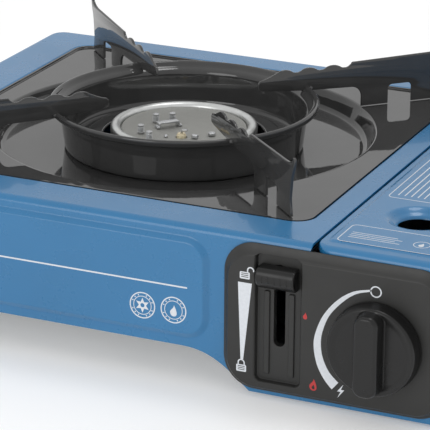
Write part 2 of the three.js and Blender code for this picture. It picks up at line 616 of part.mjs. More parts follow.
const electrodeFoot = [BURNER.x + ELECTRODE.x, BURNER.y + ELECTRODE.y, 54.6];
const leadPath = [
  [166, PIEZO.y, PIEZO.z + PIEZO.radius + 0.4],
  [165, PIEZO.y, 56],
  [158, -126, 68],
  [120, -118, LEAD_HOLE.z],
  [PARTITION_X + SHEET / 2, LEAD_HOLE.y, LEAD_HOLE.z],
  [84, -113, 70],
  [60, -100, 66],
  [20, -70, 62],
  [-14, -28, 56],
  [electrodeFoot[0] + 3, electrodeFoot[1] - 3, 50],
  [electrodeFoot[0], electrodeFoot[1], 49.6],
  electrodeFoot];
const lead = tube(leadPath, 1, { sides: 3, steps: 44 });
add(stove, 'ignition_lead', lead, RED_LEAD);

// ---------------------------------------------------------------- regulator and valve

const REGULATOR = { back: -94, front: -120, left: 119, right: 157, bottom: 16, top: 64 };

function regulatorBody() {
  const { back, front, left, right, bottom, top } = REGULATOR;
  const main = prismY(roundedBox2D(left, bottom, right, top, 6), front, back);
  const socket = rodY(16, back - 1, -84, 28).translate(BAY.x, 0, BAY.z);
  const valveBoss = rodY(8, -123.5, front + 1, 20).translate(KNOB.x, 0, KNOB.z);
  const outlet = rodX(5.5, 111, left + 1, 16).translate(0, GAS_TUBE.y, GAS_TUBE.z);
  const seat = rodY(10, -90, -80, 24).translate(BAY.x, 0, BAY.z);
  const stemBore = rodY(3.3, -126, -108, 14).translate(KNOB.x, 0, KNOB.z);
  const jetBore = rodX(2.9, 108, 118, 12).translate(0, GAS_TUBE.y, GAS_TUBE.z);
  return cut(joined(main, socket, valveBoss, outlet), seat, stemBore, jetBore);
}

add(stove, 'regulator_body', regulatorBody(), ZINC);
const seal = add(stove, 'cartridge_seal', turned([[3, 0], [9.4, 0], [9.4, 2], [3, 2]], 20), RUBBER);
seal.rotation.x = Math.PI / 2;
seal.position.set(BAY.x, -87.6, BAY.z);

const jet = cut(
  joined(rodX(2.5, 106, 116, 12), rodX(4, 106, 110.6, 6)), rodX(0.6, 104, 118, 6));
add(stove, 'gas_jet', jet.translate(0, GAS_TUBE.y, GAS_TUBE.z), BRASS);

const BRACKET_Y = -98.2;
for (const [side, x] of [['left', REGULATOR.left - 4.5], ['right', REGULATOR.right + 4.5]]) {
  const foot = BAY.floor + 1 + GAP;
  const inward = x < BAY.x ? 1 : -1;
  const shape = outline([
    [x - 5, foot], [x + 5, foot], [x + 5, foot + 1.2], [x + 0.6, foot + 1.2], [x + 0.6, 58], [x - 0.6, 58],
    [x - 0.6, foot + 1.2], [x - 5, foot + 1.2]]);
  const post = prismY(shape, -101.8, BRACKET_Y + 3.6);
  const hole = rodX(1.9, x - 3, x + 3, 10).translate(0, BRACKET_Y, 52);
  add(stove, `regulator_bracket_${side}`, cut(post, hole), GALVANISED);
  const screw = turned([[0, 0], [3, 0], [3, 2], [1.5, 2], [1.5, 5.6], [0, 5.6]], 12);
  const mesh = add(stove, `regulator_screw_${side}`, screw, STEEL);
  mesh.rotation.y = inward * Math.PI / 2;
  mesh.position.set(x - inward * 3, BRACKET_Y, 52);
}

// The valve's stem carries a small lobe that trips the spark unit at the end of its turn.
function valveStem() {
  const lobe = { angle: 210, reach: 9.6, base: 6 };
  const corner = (radius, degrees) => {
    const angle = THREE.MathUtils.degToRad(lobe.angle + degrees);
    return [radius * Math.cos(angle), radius * Math.sin(angle)];
  };
  const round = [60, 100, 140, 180, 220, 260, 300].map((degrees) => corner(lobe.base, degrees));
  const cam = prismY(outline([...round, corner(lobe.reach, -9), corner(lobe.reach, 9)]), -129.4, -125.8);
  return joined(rodY(3, -150, -110, 16), cam);
}

add(stove, 'valve_stem', valveStem().translate(KNOB.x, 0, KNOB.z), BRASS);

function controlKnob() {
  const face = PANEL_FRONT - GAP - 0.2;
  const front = -HALF_D - KNOB_REACH;
  const bodyDepth = 8;
  const skirt = turned([
    [0, 0], [KNOB.radius, 0], [KNOB.radius, 2], [KNOB.grip + 0.4, 2.8], [KNOB.grip, bodyDepth - 1],
    [KNOB.grip - 1, bodyDepth], [0, bodyDepth]], 48).rotateX(Math.PI / 2).translate(0, face, 0);
  const bar = common(
    prismY(roundedBox2D(-6.5, -KNOB.grip, 6.5, KNOB.grip, 5), front, face - 2),
    rodY(KNOB.grip - 0.4, front - 2, face + 2, 48));
  const bore = rodY(3.3, -150.4, face + 2, 16);
  return cut(joined(skirt, bar), bore);
}

add(stove, 'control_knob', controlKnob().translate(KNOB.x, 0, KNOB.z), BLACK_PLASTIC);

// ---------------------------------------------------------------- control panel and lock

const CHANNEL = { left: LEVER.x - 11.5, right: LEVER.x + 11.5, depth: 3 };

function controlPanel() {
  const { left, right, bottom, top, corner, bevel, proud } = PANEL;
  const back = -HALF_D - GAP;
  const plate = prismY(
    roundedBox2D(left, bottom, right, top, corner), PANEL_FRONT, back + proud, [proud - 0.6, bevel], 6);
  const trim = block([left - 5, back, bottom - 5], [right + 5, back + proud * 2, top + 5]);
  const plug = prismY(roundedBox2D(left + 6, bottom + 7, right - 6, top - 9, 7), back - 1, -HALF_D + 2.6);
  const channel = block(
    [CHANNEL.left, PANEL_FRONT - 2, bottom + 6], [CHANNEL.right, PANEL_FRONT + CHANNEL.depth, top - 4]);
  const leverSlot = block([LEVER.x - 3, -HALF_D - 9, LEVER.handle - LEVER.travel - 5],
    [LEVER.x + 3, -HALF_D + 9, LEVER.handle + 5]);
  const stemHole = rodY(4.2, -HALF_D - 9, -HALF_D + 9, 20).translate(KNOB.x, 0, KNOB.z);
  const screwHoles = Object.values(PANEL_SCREW.x).map((x) =>
    rodY(1.6, -HALF_D - 2.7, -HALF_D + 4, 10).translate(x, 0, PANEL_SCREW.z));
  return cut(joined(cut(plate, trim), plug), channel, leverSlot, stemHole, ...screwHoles);
}

add(stove, 'control_panel', controlPanel(), BLACK_PLASTIC);

for (const [side, x] of Object.entries(PANEL_SCREW.x)) {
  const screw = turned([[0, 0], [2.8, 0], [2.8, 1.6], [1.3, 1.6], [1.3, 4.8], [0, 5.2]], 10);
  const mesh = add(stove, `panel_screw_${side}`, screw, STEEL);
  mesh.rotation.x = Math.PI / 2;
  mesh.position.set(x, -HALF_D + SHEET + GAP + 1.6, PANEL_SCREW.z);
}

// The lever: a finger block in the channel, a stem through the panel, and a slotted tail.
function lockLever() {
  const { x, width, handle } = LEVER;
  const blockFront = PANEL_FRONT - 5;
  const channelFloor = PANEL_FRONT + CHANNEL.depth - GAP;
  const grip = prismX(outline([
    [channelFloor, handle + 5], [channelFloor, handle - 7], [PANEL_FRONT - 1, handle - 7],
    [blockFront, handle - 2], [blockFront, handle + 1], [PANEL_FRONT - 1, handle + 5]].reverse()),
  x - width / 2, x + width / 2);
  const stem = block([x - 2.4, channelFloor - 1, handle - 4], [x + 2.4, -HALF_D + 4.5, handle + 4]);
  const crossPlate = block([x - 8, -HALF_D + 4, handle - 6], [104.2, -HALF_D + 5.2, handle + 2]);
  const pinZ = CRANK.z + CRANK.frontArm * Math.sin(THREE.MathUtils.degToRad(CRANK.swing));
  const tail = block([103, -HALF_D + 3, pinZ - 6], [104.2, -122.5, pinZ + 6]);
  const slot = block([101.4, -133, pinZ - 2.3], [105, -124.5, pinZ + 2.3]);
  return cut(joined(grip, stem, crossPlate, tail), slot);
}

add(stove, 'lock_lever', lockLever(), BLACK_PLASTIC);

const crankPoint = (length, degrees) => {
  const angle = THREE.MathUtils.degToRad(degrees);
  return [CRANK.y + length * Math.cos(angle), CRANK.z + length * Math.sin(angle)];
};
const CRANK_FRONT = crankPoint(CRANK.frontArm, 180 - CRANK.swing);
const CRANK_TOP = crankPoint(CRANK.topArm, 90 - CRANK.swing);

// A bell crank: the lever moves its long arm, its short arm moves the hook.
function lockCrank() {
  const arm = (length, degrees, half) => {
    const plate = block([106, 0, -half], [107.4, length, half]);
    return plate.rotateX(THREE.MathUtils.degToRad(degrees)).translate(0, CRANK.y, CRANK.z);
  };
  const disc = (radius, [y, z], x0 = 106, x1 = 107.4) => rodX(radius, x0, x1, 16).translate(0, y, z);
  const hub = [CRANK.y, CRANK.z];
  const body = joined(
    disc(5, hub), arm(CRANK.frontArm, 180 - CRANK.swing, 2.6), arm(CRANK.topArm, 90 - CRANK.swing, 2.6),
    disc(2.8, CRANK_FRONT), disc(2.8, CRANK_TOP), disc(1.5, CRANK_FRONT, 101.8, 106.5),
    disc(1.5, CRANK_TOP, 99.2, 106.5));
  return cut(body, disc(2.06, hub, 104, 109));
}

add(stove, 'lock_crank', lockCrank(), STEEL);

const crankPin = rodX(2, PARTITION_X - 1.6, 108.4, 14).translate(0, CRANK.y, CRANK.z);
const pinHead = rodX(3.4, 108, 109.4, 14).translate(0, CRANK.y, CRANK.z);
add(stove, 'crank_pin', joined(crankPin, pinHead), STEEL);

const springTurns = 3;
const springPoints = [];
for (let step = 0; step <= springTurns * 10; step += 1) {
  const angle = (step / 10) * Math.PI * 2;
  const along = 102.4 + (step / (springTurns * 10)) * 2.8;
  springPoints.push([along, CRANK.y + 3.4 * Math.cos(angle), CRANK.z + 3.4 * Math.sin(angle)]);
}
add(stove, 'crank_spring', tube(springPoints, 0.4, { sides: 2, steps: springTurns * 14 }), STEEL);

// The hook: a strip along the wall with a fork that pulls the cartridge onto its seat.
function lockHook() {
  const [pinY, pinZ] = CRANK_TOP;
  const strip = block([99.4, pinY - 12, 50.6], [100.6, -60, pinZ + 5]);
  const slot = block([98, pinY - 1.9, pinZ - 2.9], [102, pinY + 1.9, pinZ + 2.9]);
  const fork = prismY(outline([
    [99.6, 50.6], [116, 50.6], [124.5, 47], [124.5, 52], [122, 58.4], [99.6, 58.4]]), -61.2, -60);
  return cut(joined(strip, fork), slot);
}

add(stove, 'cartridge_hook', lockHook(), GALVANISED);

// ---------------------------------------------------------------- cartridge lid

const VENT = { x: 134.5, y: -83, radius: 10.5, dish: 17 };

function canisterLid() {
  const skin = common(cut(pressedForm(0), pressedForm(SHEET), belowCase()), lidSpace(0));
  const sealEdge = SEAM_X + GAP;
  const trimmed = cut(skin, block([SEAM_X - 5, -HALF_D - 3, 70], [sealEdge, HALF_D + 3, CASE.top + 3]));
  const flange = block([sealEdge, -126.5, 75], [sealEdge + SHEET, 126.5, INNER_TOP + 0.4]);
  const lug = (y0, y1) => prismY(outline([
    [PIVOT.x - 3.2, PIVOT.z - 3], [PIVOT.x + 3, PIVOT.z - 3.4], [PIVOT.x + 3.6, INNER_TOP + 0.4],
    [PIVOT.x - 3.4, INNER_TOP + 0.4]]), y0, y1);
  const raised = prismZ(
    roundedBox2D(SEAM_X + 4, -HALF_D + 9, HALF_W - 9, HALF_D - 9, 8), CASE.top - 0.4, CASE.top + 0.8);
  const surround = turned([[0, 0], [VENT.radius + 3, 0], [VENT.dish, 2.4], [VENT.dish, 8], [0, 8]], 32)
    .translate(VENT.x, VENT.y, CASE.top - 1.6);
  const under = turned([
    [0, 0], [VENT.radius + 4, 0], [VENT.dish + 1, 2.4], [VENT.dish + 1, 3], [0, 3]], 32)
    .translate(VENT.x, VENT.y, CASE.top - 3);
  const hole = rodZ(VENT.radius, 60, 90, 28).translate(VENT.x, VENT.y, 0);
  const chamfer = prismY(outline([
    [sealEdge - 1, CASE.top - 2.2], [sealEdge + 2.2, CASE.top + 1], [sealEdge - 1, CASE.top + 1]]),
  -HALF_D - 2, HALF_D + 2);
  const pinHole = rodY(PIVOT.radius + 0.3, -HALF_D + 3, HALF_D - 3, 12).translate(PIVOT.x, 0, PIVOT.z);
  const skirtRoom = cut(
    block([SEAM_X - 2, -HALF_D - 3, PIVOT.z - 6], [PIVOT.x, HALF_D + 3, PIVOT.z + 1.6]),
    rodY(4.9, -HALF_D - 4, HALF_D + 4, 24).translate(PIVOT.x, 0, PIVOT.z));
  const plate = cut(joined(trimmed, flange, raised, under), surround, hole, chamfer);
  const withLugs = joined(
    cut(plate, skirtRoom), lug(PIVOT.front - 0.2, PIVOT.front + 1), lug(PIVOT.back - 1, PIVOT.back + 0.2));
  return cut(withLugs, pinHole);
}

add(stove, 'canister_lid', canisterLid(), BLUE_PAINT);

for (const [end, y, side] of [['front', PIVOT.front, -1], ['back', PIVOT.back, 1]]) {
  const shaft = rodY(PIVOT.radius, -4.6, 1.2, 14);
  const head = rodY(2.6, 1, 2.2, 14);
  const hinge = joined(shaft, head);
  if (side < 0) hinge.rotateZ(Math.PI);
  add(stove, `hinge_pin_${end}`, hinge.translate(PIVOT.x, y, PIVOT.z), STEEL);
}

export default stove;
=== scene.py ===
"""A portable gas stove for camping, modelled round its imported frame."""

import math

import bmesh
import bpy
from mathutils import Matrix, Vector


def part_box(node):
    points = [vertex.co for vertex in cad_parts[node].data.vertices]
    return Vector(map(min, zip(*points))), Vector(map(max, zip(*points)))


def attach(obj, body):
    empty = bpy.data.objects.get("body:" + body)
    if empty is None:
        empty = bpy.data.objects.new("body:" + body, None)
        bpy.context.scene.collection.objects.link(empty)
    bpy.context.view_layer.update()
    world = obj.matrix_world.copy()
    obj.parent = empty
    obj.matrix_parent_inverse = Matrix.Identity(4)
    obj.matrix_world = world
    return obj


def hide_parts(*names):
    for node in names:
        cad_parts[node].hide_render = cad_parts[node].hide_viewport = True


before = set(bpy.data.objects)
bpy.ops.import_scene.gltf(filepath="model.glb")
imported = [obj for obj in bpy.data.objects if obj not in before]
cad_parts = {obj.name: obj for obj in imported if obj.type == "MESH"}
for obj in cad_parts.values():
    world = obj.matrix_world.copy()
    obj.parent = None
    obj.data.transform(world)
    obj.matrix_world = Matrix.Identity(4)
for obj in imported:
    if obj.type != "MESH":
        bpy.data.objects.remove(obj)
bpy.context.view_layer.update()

bl_info = {
    "name": "Camping stove",
    "version": (1, 0, 0),
    "blender": (4, 5, 0),
    "location": "View3D > Sidebar > Stove",
    "description": "Builds the looks of a portable camping stove round its frame",
    "category": "Object",
}

MM = 0.001


def box_mm(node):
    """The lowest and highest corner of a frame node, in millimetres."""
    low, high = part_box(node)
    return low / MM, high / MM


def centre_mm(node):
    low, high = box_mm(node)
    return (low + high) / 2


SHEET = 1.2
GAP = 0.4
SHELL_LOW, SHELL_HIGH = box_mm("body_shell")
BASE_LOW, BASE_HIGH = box_mm("base_plate")
LID_LOW, LID_HIGH = box_mm("canister_lid")
TRAY_LOW, TRAY_HIGH = box_mm("drip_tray")
RING_LOW, RING_HIGH = box_mm("support_ring")
FIN_LOW, FIN_HIGH = box_mm("support_fin_back_right")
BOWL_LOW, BOWL_HIGH = box_mm("burner_bowl")
PANEL_LOW, PANEL_HIGH = box_mm("control_panel")
KNOB_LOW, KNOB_HIGH = box_mm("control_knob")
LEVER_LOW, LEVER_HIGH = box_mm("lock_lever")
BURNER = centre_mm("burner_bowl")
KNOB = centre_mm("control_knob")

CASE_TOP = SHELL_HIGH.z
CASE_LEFT = SHELL_LOW.x
CASE_RIGHT = SHELL_HIGH.x
CASE_BACK = SHELL_HIGH.y
CASE_FRONT = BASE_LOW.y - SHEET - GAP
CASE_BOTTOM = SHELL_LOW.z
CASE_CORNER = 10.0
SEAM = LID_LOW.x - GAP
TRAY_CENTRE = (TRAY_LOW + TRAY_HIGH) / 2


# ---------------------------------------------------------------- sizes and colours


class StoveSizes(bpy.types.PropertyGroup):
    """Sizes of the visible shapes, in metres."""

    edge_round: bpy.props.FloatProperty(
        name="Case edge", description="Radius of the case's top edge",
        default=4 * MM, unit="LENGTH")
    opening_round: bpy.props.FloatProperty(
        name="Opening edge", description="Radius of the rolled edge round the tray",
        default=1.4 * MM, unit="LENGTH")
    field_height: bpy.props.FloatProperty(
        name="Front field", description="How far the front's pressed field stands out",
        default=2.2 * MM, unit="LENGTH")
    lid_emboss: bpy.props.FloatProperty(
        name="Lid field", description="How far the lid's pressed field stands up",
        default=0.8 * MM, unit="LENGTH")
    vent_radius: bpy.props.FloatProperty(
        name="Vent", description="Radius of the hole in the lid",
        default=10.5 * MM, unit="LENGTH")
    grip_width: bpy.props.FloatProperty(
        name="Knob grip", description="Width of the knob's grip bar",
        default=13 * MM, unit="LENGTH")
    print_height: bpy.props.FloatProperty(
        name="Print", description="Thickness of the printed marks",
        default=0.06 * MM, unit="LENGTH")


class StoveColours(bpy.types.PropertyGroup):
    """Base colours of the finishes."""

    paint: bpy.props.FloatVectorProperty(
        name="Paint", description="Case and lid", subtype="COLOR", size=3,
        default=(0.020, 0.170, 0.375), min=0, max=1)
    enamel: bpy.props.FloatVectorProperty(
        name="Enamel", description="Tray, ring and fins", subtype="COLOR", size=3,
        default=(0.042, 0.042, 0.042), min=0, max=1)
    panel: bpy.props.FloatVectorProperty(
        name="Panel", description="Control panel", subtype="COLOR", size=3,
        default=(0.022, 0.022, 0.021), min=0, max=1)
    knob: bpy.props.FloatVectorProperty(
        name="Knob", description="Knob and lever", subtype="COLOR", size=3,
        default=(0.008, 0.008, 0.008), min=0, max=1)
    ink: bpy.props.FloatVectorProperty(
        name="Ink", description="White printed marks", subtype="COLOR", size=3,
        default=(0.72, 0.75, 0.79), min=0, max=1)
    red_ink: bpy.props.FloatVectorProperty(
        name="Red ink", description="Flame marks", subtype="COLOR", size=3,
        default=(0.50, 0.035, 0.035), min=0, max=1)


def sizes():
    return bpy.context.scene.stove_sizes


def colours():
    return bpy.context.scene.stove_colours


# ---------------------------------------------------------------- outlines and meshes


def arc(centre, radius, start, end, steps):
    """Points on an arc, in degrees, both ends included."""
    turns = [math.radians(start + (end - start) * i / steps) for i in range(steps + 1)]
    return [(centre[0] + radius * math.cos(t), centre[1] + radius * math.sin(t)) for t in turns]


def rounded_box(x0, y0, x1, y1, radius, corner_steps=8, side_steps=1):
    """An anticlockwise outline that starts at the left of its lower side."""
    corners = [((x1 - radius, y0 + radius), -90), ((x1 - radius, y1 - radius), 0),
               ((x0 + radius, y1 - radius), 90), ((x0 + radius, y0 + radius), 180)]
    arcs = [arc(centre, radius, start, start + 90, corner_steps) for centre, start in corners]
    points = []
    for before, after in zip([arcs[-1], *arcs[:-1]], arcs):
        ends = Vector(before[-1]), Vector(after[0])
        points += [tuple(ends[0].lerp(ends[1], i / side_steps)) for i in range(side_steps)]
        points += after[:-1]
    return points


def at_height(outline, z):
    return [(x, y, z) for x, y in outline]


def on_front(outline, y):
    return [(x, y, z) for x, z in outline]


def loft(loops, cap_start=False, cap_end=False):
    """A skin through closed loops of equal length."""
    count = len(loops[0])
    points = [point for loop in loops for point in loop]
    faces = []
    for row in range(len(loops) - 1):
        for i in range(count):
            j = (i + 1) % count
            faces.append((row * count + i, row * count + j, (row + 1) * count + j, (row + 1) * count + i))
    if cap_start:
        faces.append(tuple(reversed(range(count))))
    if cap_end:
        faces.append(tuple((len(loops) - 1) * count + i for i in range(count)))
    return mesh_of(points, faces)


def mesh_of(points, faces):
    mesh = bpy.data.meshes.new("shape")
    mesh.from_pydata([Vector(point) * MM for point in points], [], faces)
    return mesh


def turned(profile, centre=(0, 0), steps=96, closed=False):
    """A surface of revolution from (radius, height) points; a point on the axis closes it."""
    loops = profile + profile[:1] if closed else profile
    points = []
    rows = []
    for radius, height in loops:
        if radius == 0:
            rows.append([len(points)] * steps)
            points.append((centre[0], centre[1], height))
        else:
            rows.append(list(range(len(points), len(points) + steps)))
            points += at_height(arc(centre, radius, 0, 360, steps)[:-1], height)
    faces = []
    for low, high in zip(rows, rows[1:]):
        for i in range(steps):
            j = (i + 1) % steps
            face = [low[i], low[j], high[j], high[i]]
            faces.append(tuple(dict.fromkeys(face)))
    return welded(mesh_of(points, faces))


def welded(mesh, outward=True):
    """Joins points that coincide, and turns a closed skin's faces outward."""
    work = bmesh.new()
    work.from_mesh(mesh)
    bmesh.ops.remove_doubles(work, verts=work.verts, dist=1e-7)
    if outward:
        bmesh.ops.recalc_face_normals(work, faces=work.faces)
    work.to_mesh(mesh)
    work.free()
    return mesh


def flipped(mesh):
    mesh.flip_normals()
    return mesh


def joined(*meshes):
    """One mesh that holds several."""
    work = bmesh.new()
    for mesh in meshes:
        work.from_mesh(mesh)
    whole = bpy.data.meshes.new("shape")
    work.to_mesh(whole)
    work.free()
    return whole


def moved(mesh, matrix):
    """The mesh after a matrix in millimetres."""
    scaled = matrix.copy()
    scaled.translation = matrix.translation * MM
    mesh.transform(scaled)
    return mesh


def shifted(mesh, x=0, y=0, z=0):
    return moved(mesh, Matrix.Translation((x, y, z)))


def evaluated(data):
    """The final mesh of an object's data block, with its modifiers worked out."""
    graph = bpy.context.evaluated_depsgraph_get()
    return bpy.data.meshes.new_from_object(data.evaluated_get(graph))


def with_modifiers(mesh, *modifiers):
    """The mesh after modifiers, each given as (kind, settings)."""
    thing = bpy.data.objects.new("work", mesh)
    bpy.context.scene.collection.objects.link(thing)
    for kind, settings in modifiers:
        modifier = thing.modifiers.new(kind.lower(), kind)
        for key, value in settings.items():
            setattr(modifier, key, value)
    result = evaluated(thing)
    bpy.data.objects.remove(thing)
    return result


def thickened(mesh, thickness):
    """A sheet of the given thickness behind the skin's face side."""
    return with_modifiers(mesh, ("SOLIDIFY", {
        "thickness": thickness * MM, "offset": -1, "use_even_offset": True, "use_rim": True}))


def combined(mesh, tool, operation):
    helper = bpy.data.objects.new("tool", tool)
    bpy.context.scene.collection.objects.link(helper)
    result = with_modifiers(mesh, ("BOOLEAN", {
        "object": helper, "operation": operation, "solver": "EXACT", "use_self": False}))
    bpy.data.objects.remove(helper)
    return result


def cut(mesh, *tools):
    for tool in tools:
        mesh = combined(mesh, tool, "DIFFERENCE")
    return mesh


def block(low, high):
    """A plain box, used only to cut with."""
    outline = [(low[0], low[1]), (high[0], low[1]), (high[0], high[1]), (low[0], high[1])]
    return loft([at_height(outline, low[2]), at_height(outline, high[2])], True, True)


def prism_y(outline, y0, y1):
    """An outline in X and Z, pushed along Y."""
    return welded(loft([on_front(outline, y0), on_front(outline, y1)], True, True))


def prism_x(outline, x0, x1):
    """An outline in Y and Z, pushed along X."""
    loops = [[(x, y, z) for y, z in outline] for x in (x0, x1)]
    return welded(loft(loops, True, True))


def plate(outlines, thickness, bevel=0.0, steps=2):
    """A flat plate about z = 0 with rounded edges; outlines after the first are holes."""
    curve = bpy.data.curves.new("plate", "CURVE")
    curve.dimensions = "2D"
    curve.fill_mode = "BOTH"
    curve.extrude = (thickness / 2 - bevel) * MM
    curve.bevel_depth = bevel * MM
    curve.bevel_resolution = steps
    curve.offset = -bevel * MM
    for outline in outlines:
        spline = curve.splines.new("POLY")
        spline.points.add(len(outline) - 1)
        for point, (u, v) in zip(spline.points, outline):
            point.co = (u * MM, v * MM, 0, 1)
        spline.use_cyclic_u = True
    thing = bpy.data.objects.new("plate", curve)
    bpy.context.scene.collection.objects.link(thing)
    mesh = evaluated(thing)
    bpy.data.objects.remove(thing)
    return welded(mesh)


def upright(mesh, y):
    """A flat piece made about z = 0, stood up so that it faces the front at that depth."""
    return moved(mesh, Matrix.Translation((0, y, 0)) @ Matrix.Rotation(math.pi / 2, 4, "X"))


def swept(points, radius, steps=6):
    """A round rod along smooth points, closed at its ends."""
    curve = bpy.data.curves.new("rod", "CURVE")
    curve.dimensions = "3D"
    curve.bevel_depth = radius * MM
    curve.bevel_resolution = steps
    curve.use_fill_caps = True
    spline = curve.splines.new("POLY")
    spline.points.add(len(points) - 1)
    for point, place in zip(spline.points, points):
        point.co = (*(Vector(place) * MM), 1)
    thing = bpy.data.objects.new("rod", curve)
    bpy.context.scene.collection.objects.link(thing)
    mesh = evaluated(thing)
    bpy.data.objects.remove(thing)
    return welded(mesh)


def shade(mesh, angle=32):
    mesh.shade_smooth()
    mesh.set_sharp_from_angle(angle=math.radians(angle))


def add_piece(name, mesh, finish, body, stands_for=(), angle=32, even=False):
    """Puts a finished mesh in the scene on its frame body."""
    mesh.name = name
    mesh.materials.clear()
    mesh.materials.append(finish)
    shade(mesh, angle)
    piece = bpy.data.objects.new(name, mesh)
    bpy.context.scene.collection.objects.link(piece)
    if even:
        normals = piece.modifiers.new("even shading", "WEIGHTED_NORMAL")
        normals.keep_sharp = True
    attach(piece, body)
    if stands_for:
        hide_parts(*stands_for)
    return piece


# ---------------------------------------------------------------- finishes


class Value:
    """A number in a finish, with arithmetic that adds Math nodes."""

    def __init__(self, finish, socket):
        self.finish = finish
        self.socket = socket

    def math(self, operation, *others, clamp=False):
        node = self.finish.node(
            "ShaderNodeMath", {"operation": operation, "use_clamp": clamp}, dict(enumerate((self, *others))))
        return Value(self.finish, node.outputs[0])

    def __add__(self, other):
        return self.math("ADD", other)

    __radd__ = __add__

    def __sub__(self, other):
        return self.math("SUBTRACT", other)

    def __rsub__(self, other):
        return self * -1 + other

    def __mul__(self, other):
        return self.math("MULTIPLY", other)

    __rmul__ = __mul__

    def band(self, low, high):
        """0 below low, 1 above high."""
        return ((self - low) * (1 / (high - low))).math("ADD", 0.0, clamp=True)


class Finish:
    """A surface finish: one Principled shader and the nodes that vary it."""

    def __init__(self, name, colour, roughness, metallic=0.0, **sockets):
        self.material = bpy.data.materials.new(f"{name}_finish")
        self.material.use_nodes = True
        self.material.diffuse_color = (*colour, 1)
        self.tree = self.material.node_tree
        self.shader = self.tree.nodes["Principled BSDF"]
        self.colour = colour
        self.set("Base Color", (*colour, 1))
        self.set("Roughness", roughness)
        self.set("Metallic", metallic)
        for socket, value in sockets.items():
            self.set(socket.replace("_", " "), value)
        self.place = self.node("ShaderNodeTexCoord").outputs["Object"]

    def set(self, socket, value):
        self.connect(value, self.shader.inputs[socket])

    def connect(self, value, socket):
        if isinstance(value, Value):
            value = value.socket
        if isinstance(value, bpy.types.NodeSocket):
            self.tree.links.new(value, socket)
        else:
            socket.default_value = value

    def node(self, kind, settings=None, inputs=None):
        """Adds any node: its settings first, then the values or links of its sockets."""
        node = self.tree.nodes.new(kind)
        for key, value in (settings or {}).items():
            if key == "stops":
                for stop, (position, colour) in zip(node.color_ramp.elements, value):
                    stop.position = position
                    stop.color = colour
            else:
                setattr(node, key, value)
        for key, value in (inputs or {}).items():
            self.connect(value, node.inputs[key])
        return node

    def noise(self, scale, detail=2.0, roughness=0.5, stretch=(1, 1, 1)):
        place = self.node("ShaderNodeMapping", {}, {"Vector": self.place, "Scale": stretch}).outputs[0]
        node = self.node("ShaderNodeTexNoise", {}, {
            "Vector": place, "Scale": scale, "Detail": detail, "Roughness": roughness})
        return Value(self, node.outputs["Fac"])

    def cells(self, scale):
        node = self.node("ShaderNodeTexVoronoi", {}, {"Vector": self.place, "Scale": scale})
        return node

    def axis(self, name):
        node = self.node("ShaderNodeSeparateXYZ", {}, {0: self.place})
        return Value(self, node.outputs[name])

    def from_centre(self, x, y):
        """Distance from an upright line, in metres."""
        across = self.axis("X") - x * MM
        along = self.axis("Y") - y * MM
        return (across * across + along * along).math("SQRT")

    def mix(self, share, first, second):
        node = self.node("ShaderNodeMix", {"data_type": "RGBA"}, {0: share, 6: first, 7: second})
        return node.outputs[2]

    def tinted(self, share, low, high):
        """The finish's colour, from low to high times its brightness, by share."""
        shades = [tuple(min(1, c * k) for c in self.colour) + (1,) for k in (low, high)]
        self.set("Base Color", self.mix(share, *shades))

    def bump(self, height, distance, strength=1.0, below=None):
        inputs = {"Height": height, "Distance": distance * MM, "Strength": strength}
        if below is not None:
            inputs["Normal"] = below
        return self.node("ShaderNodeBump", {}, inputs).outputs[0]


def paint_finish():
    """Glossy baked paint with a little orange peel and faint smudges."""
    finish = Finish(
        "blue_paint", tuple(colours().paint), 0.3, Coat_Weight=0.35, Coat_Roughness=0.04, Coat_IOR=1.5)
    cloud = finish.noise(14, 3)
    finish.tinted(cloud.band(0.3, 0.7), 0.95, 1.05)
    smudge = finish.noise(55, 4, 0.6)
    finish.set("Roughness", smudge.band(0.3, 0.75) * 0.10 + 0.24)
    peel = finish.noise(900, 2)
    finish.set("Normal", finish.bump(peel, 0.010, 0.6))
    return finish.material


def enamel_finish():
    """Black vitreous enamel: mirror-like, a little wavy, with tiny pits."""
    finish = Finish("black_enamel", tuple(colours().enamel), 0.04, Specular_IOR_Level=0.62)
    wave = finish.noise(38, 2)
    peel = finish.noise(520, 3)
    pits = finish.cells(900).outputs["Distance"]
    finish.tinted(finish.noise(70, 3), 0.8, 1.3)
    finish.set("Roughness", finish.noise(90, 4).band(0.35, 0.8) * 0.04 + 0.02)
    soft = finish.bump(wave, 0.10, 0.4)
    fine = finish.bump(peel, 0.008, 0.5, soft)
    finish.set("Normal", finish.bump(Value(finish, pits).band(0.0, 0.12), 0.004, 0.4, fine))
    return finish.material


def panel_finish():
    """Moulded dark grey plastic with a fine spark-eroded grain."""
    finish = Finish("panel_plastic", tuple(colours().panel), 0.5, Specular_IOR_Level=0.45)
    finish.tinted(finish.noise(120, 4), 0.88, 1.12)
    finish.set("Roughness", finish.noise(260, 3) * 0.14 + 0.36)
    finish.set("Normal", finish.bump(finish.noise(2600, 2), 0.012, 0.6))
    return finish.material


def knob_finish():
    """Smooth black plastic with a soft sheen and faint finger marks."""
    finish = Finish("knob_plastic", tuple(colours().knob), 0.34, Specular_IOR_Level=0.4)
    finish.tinted(finish.noise(150, 3), 0.85, 1.15)
    finish.set("Roughness", finish.noise(80, 5).band(0.3, 0.75) * 0.14 + 0.25)
    finish.set("Normal", finish.bump(finish.noise(1800, 2), 0.007, 0.6))
    return finish.material


def cast_aluminium_finish():
    """Turned cast aluminium: fine rings from the tool over a soft cast surface."""
    finish = Finish("burner_aluminium", (0.70, 0.71, 0.70), 0.33, 1.0)
    distance = finish.from_centre(BURNER.x, BURNER.y)
    rings = (distance * 9000).math("SINE")
    finish.tinted(finish.noise(220, 4), 0.82, 1.1)
    finish.set("Roughness", finish.noise(160, 4) * 0.16 + 0.26)
    cast = finish.bump(finish.noise(700, 3), 0.02, 0.5)
    finish.set("Normal", finish.bump(rings, 0.004, 0.35, cast))
    return finish.material


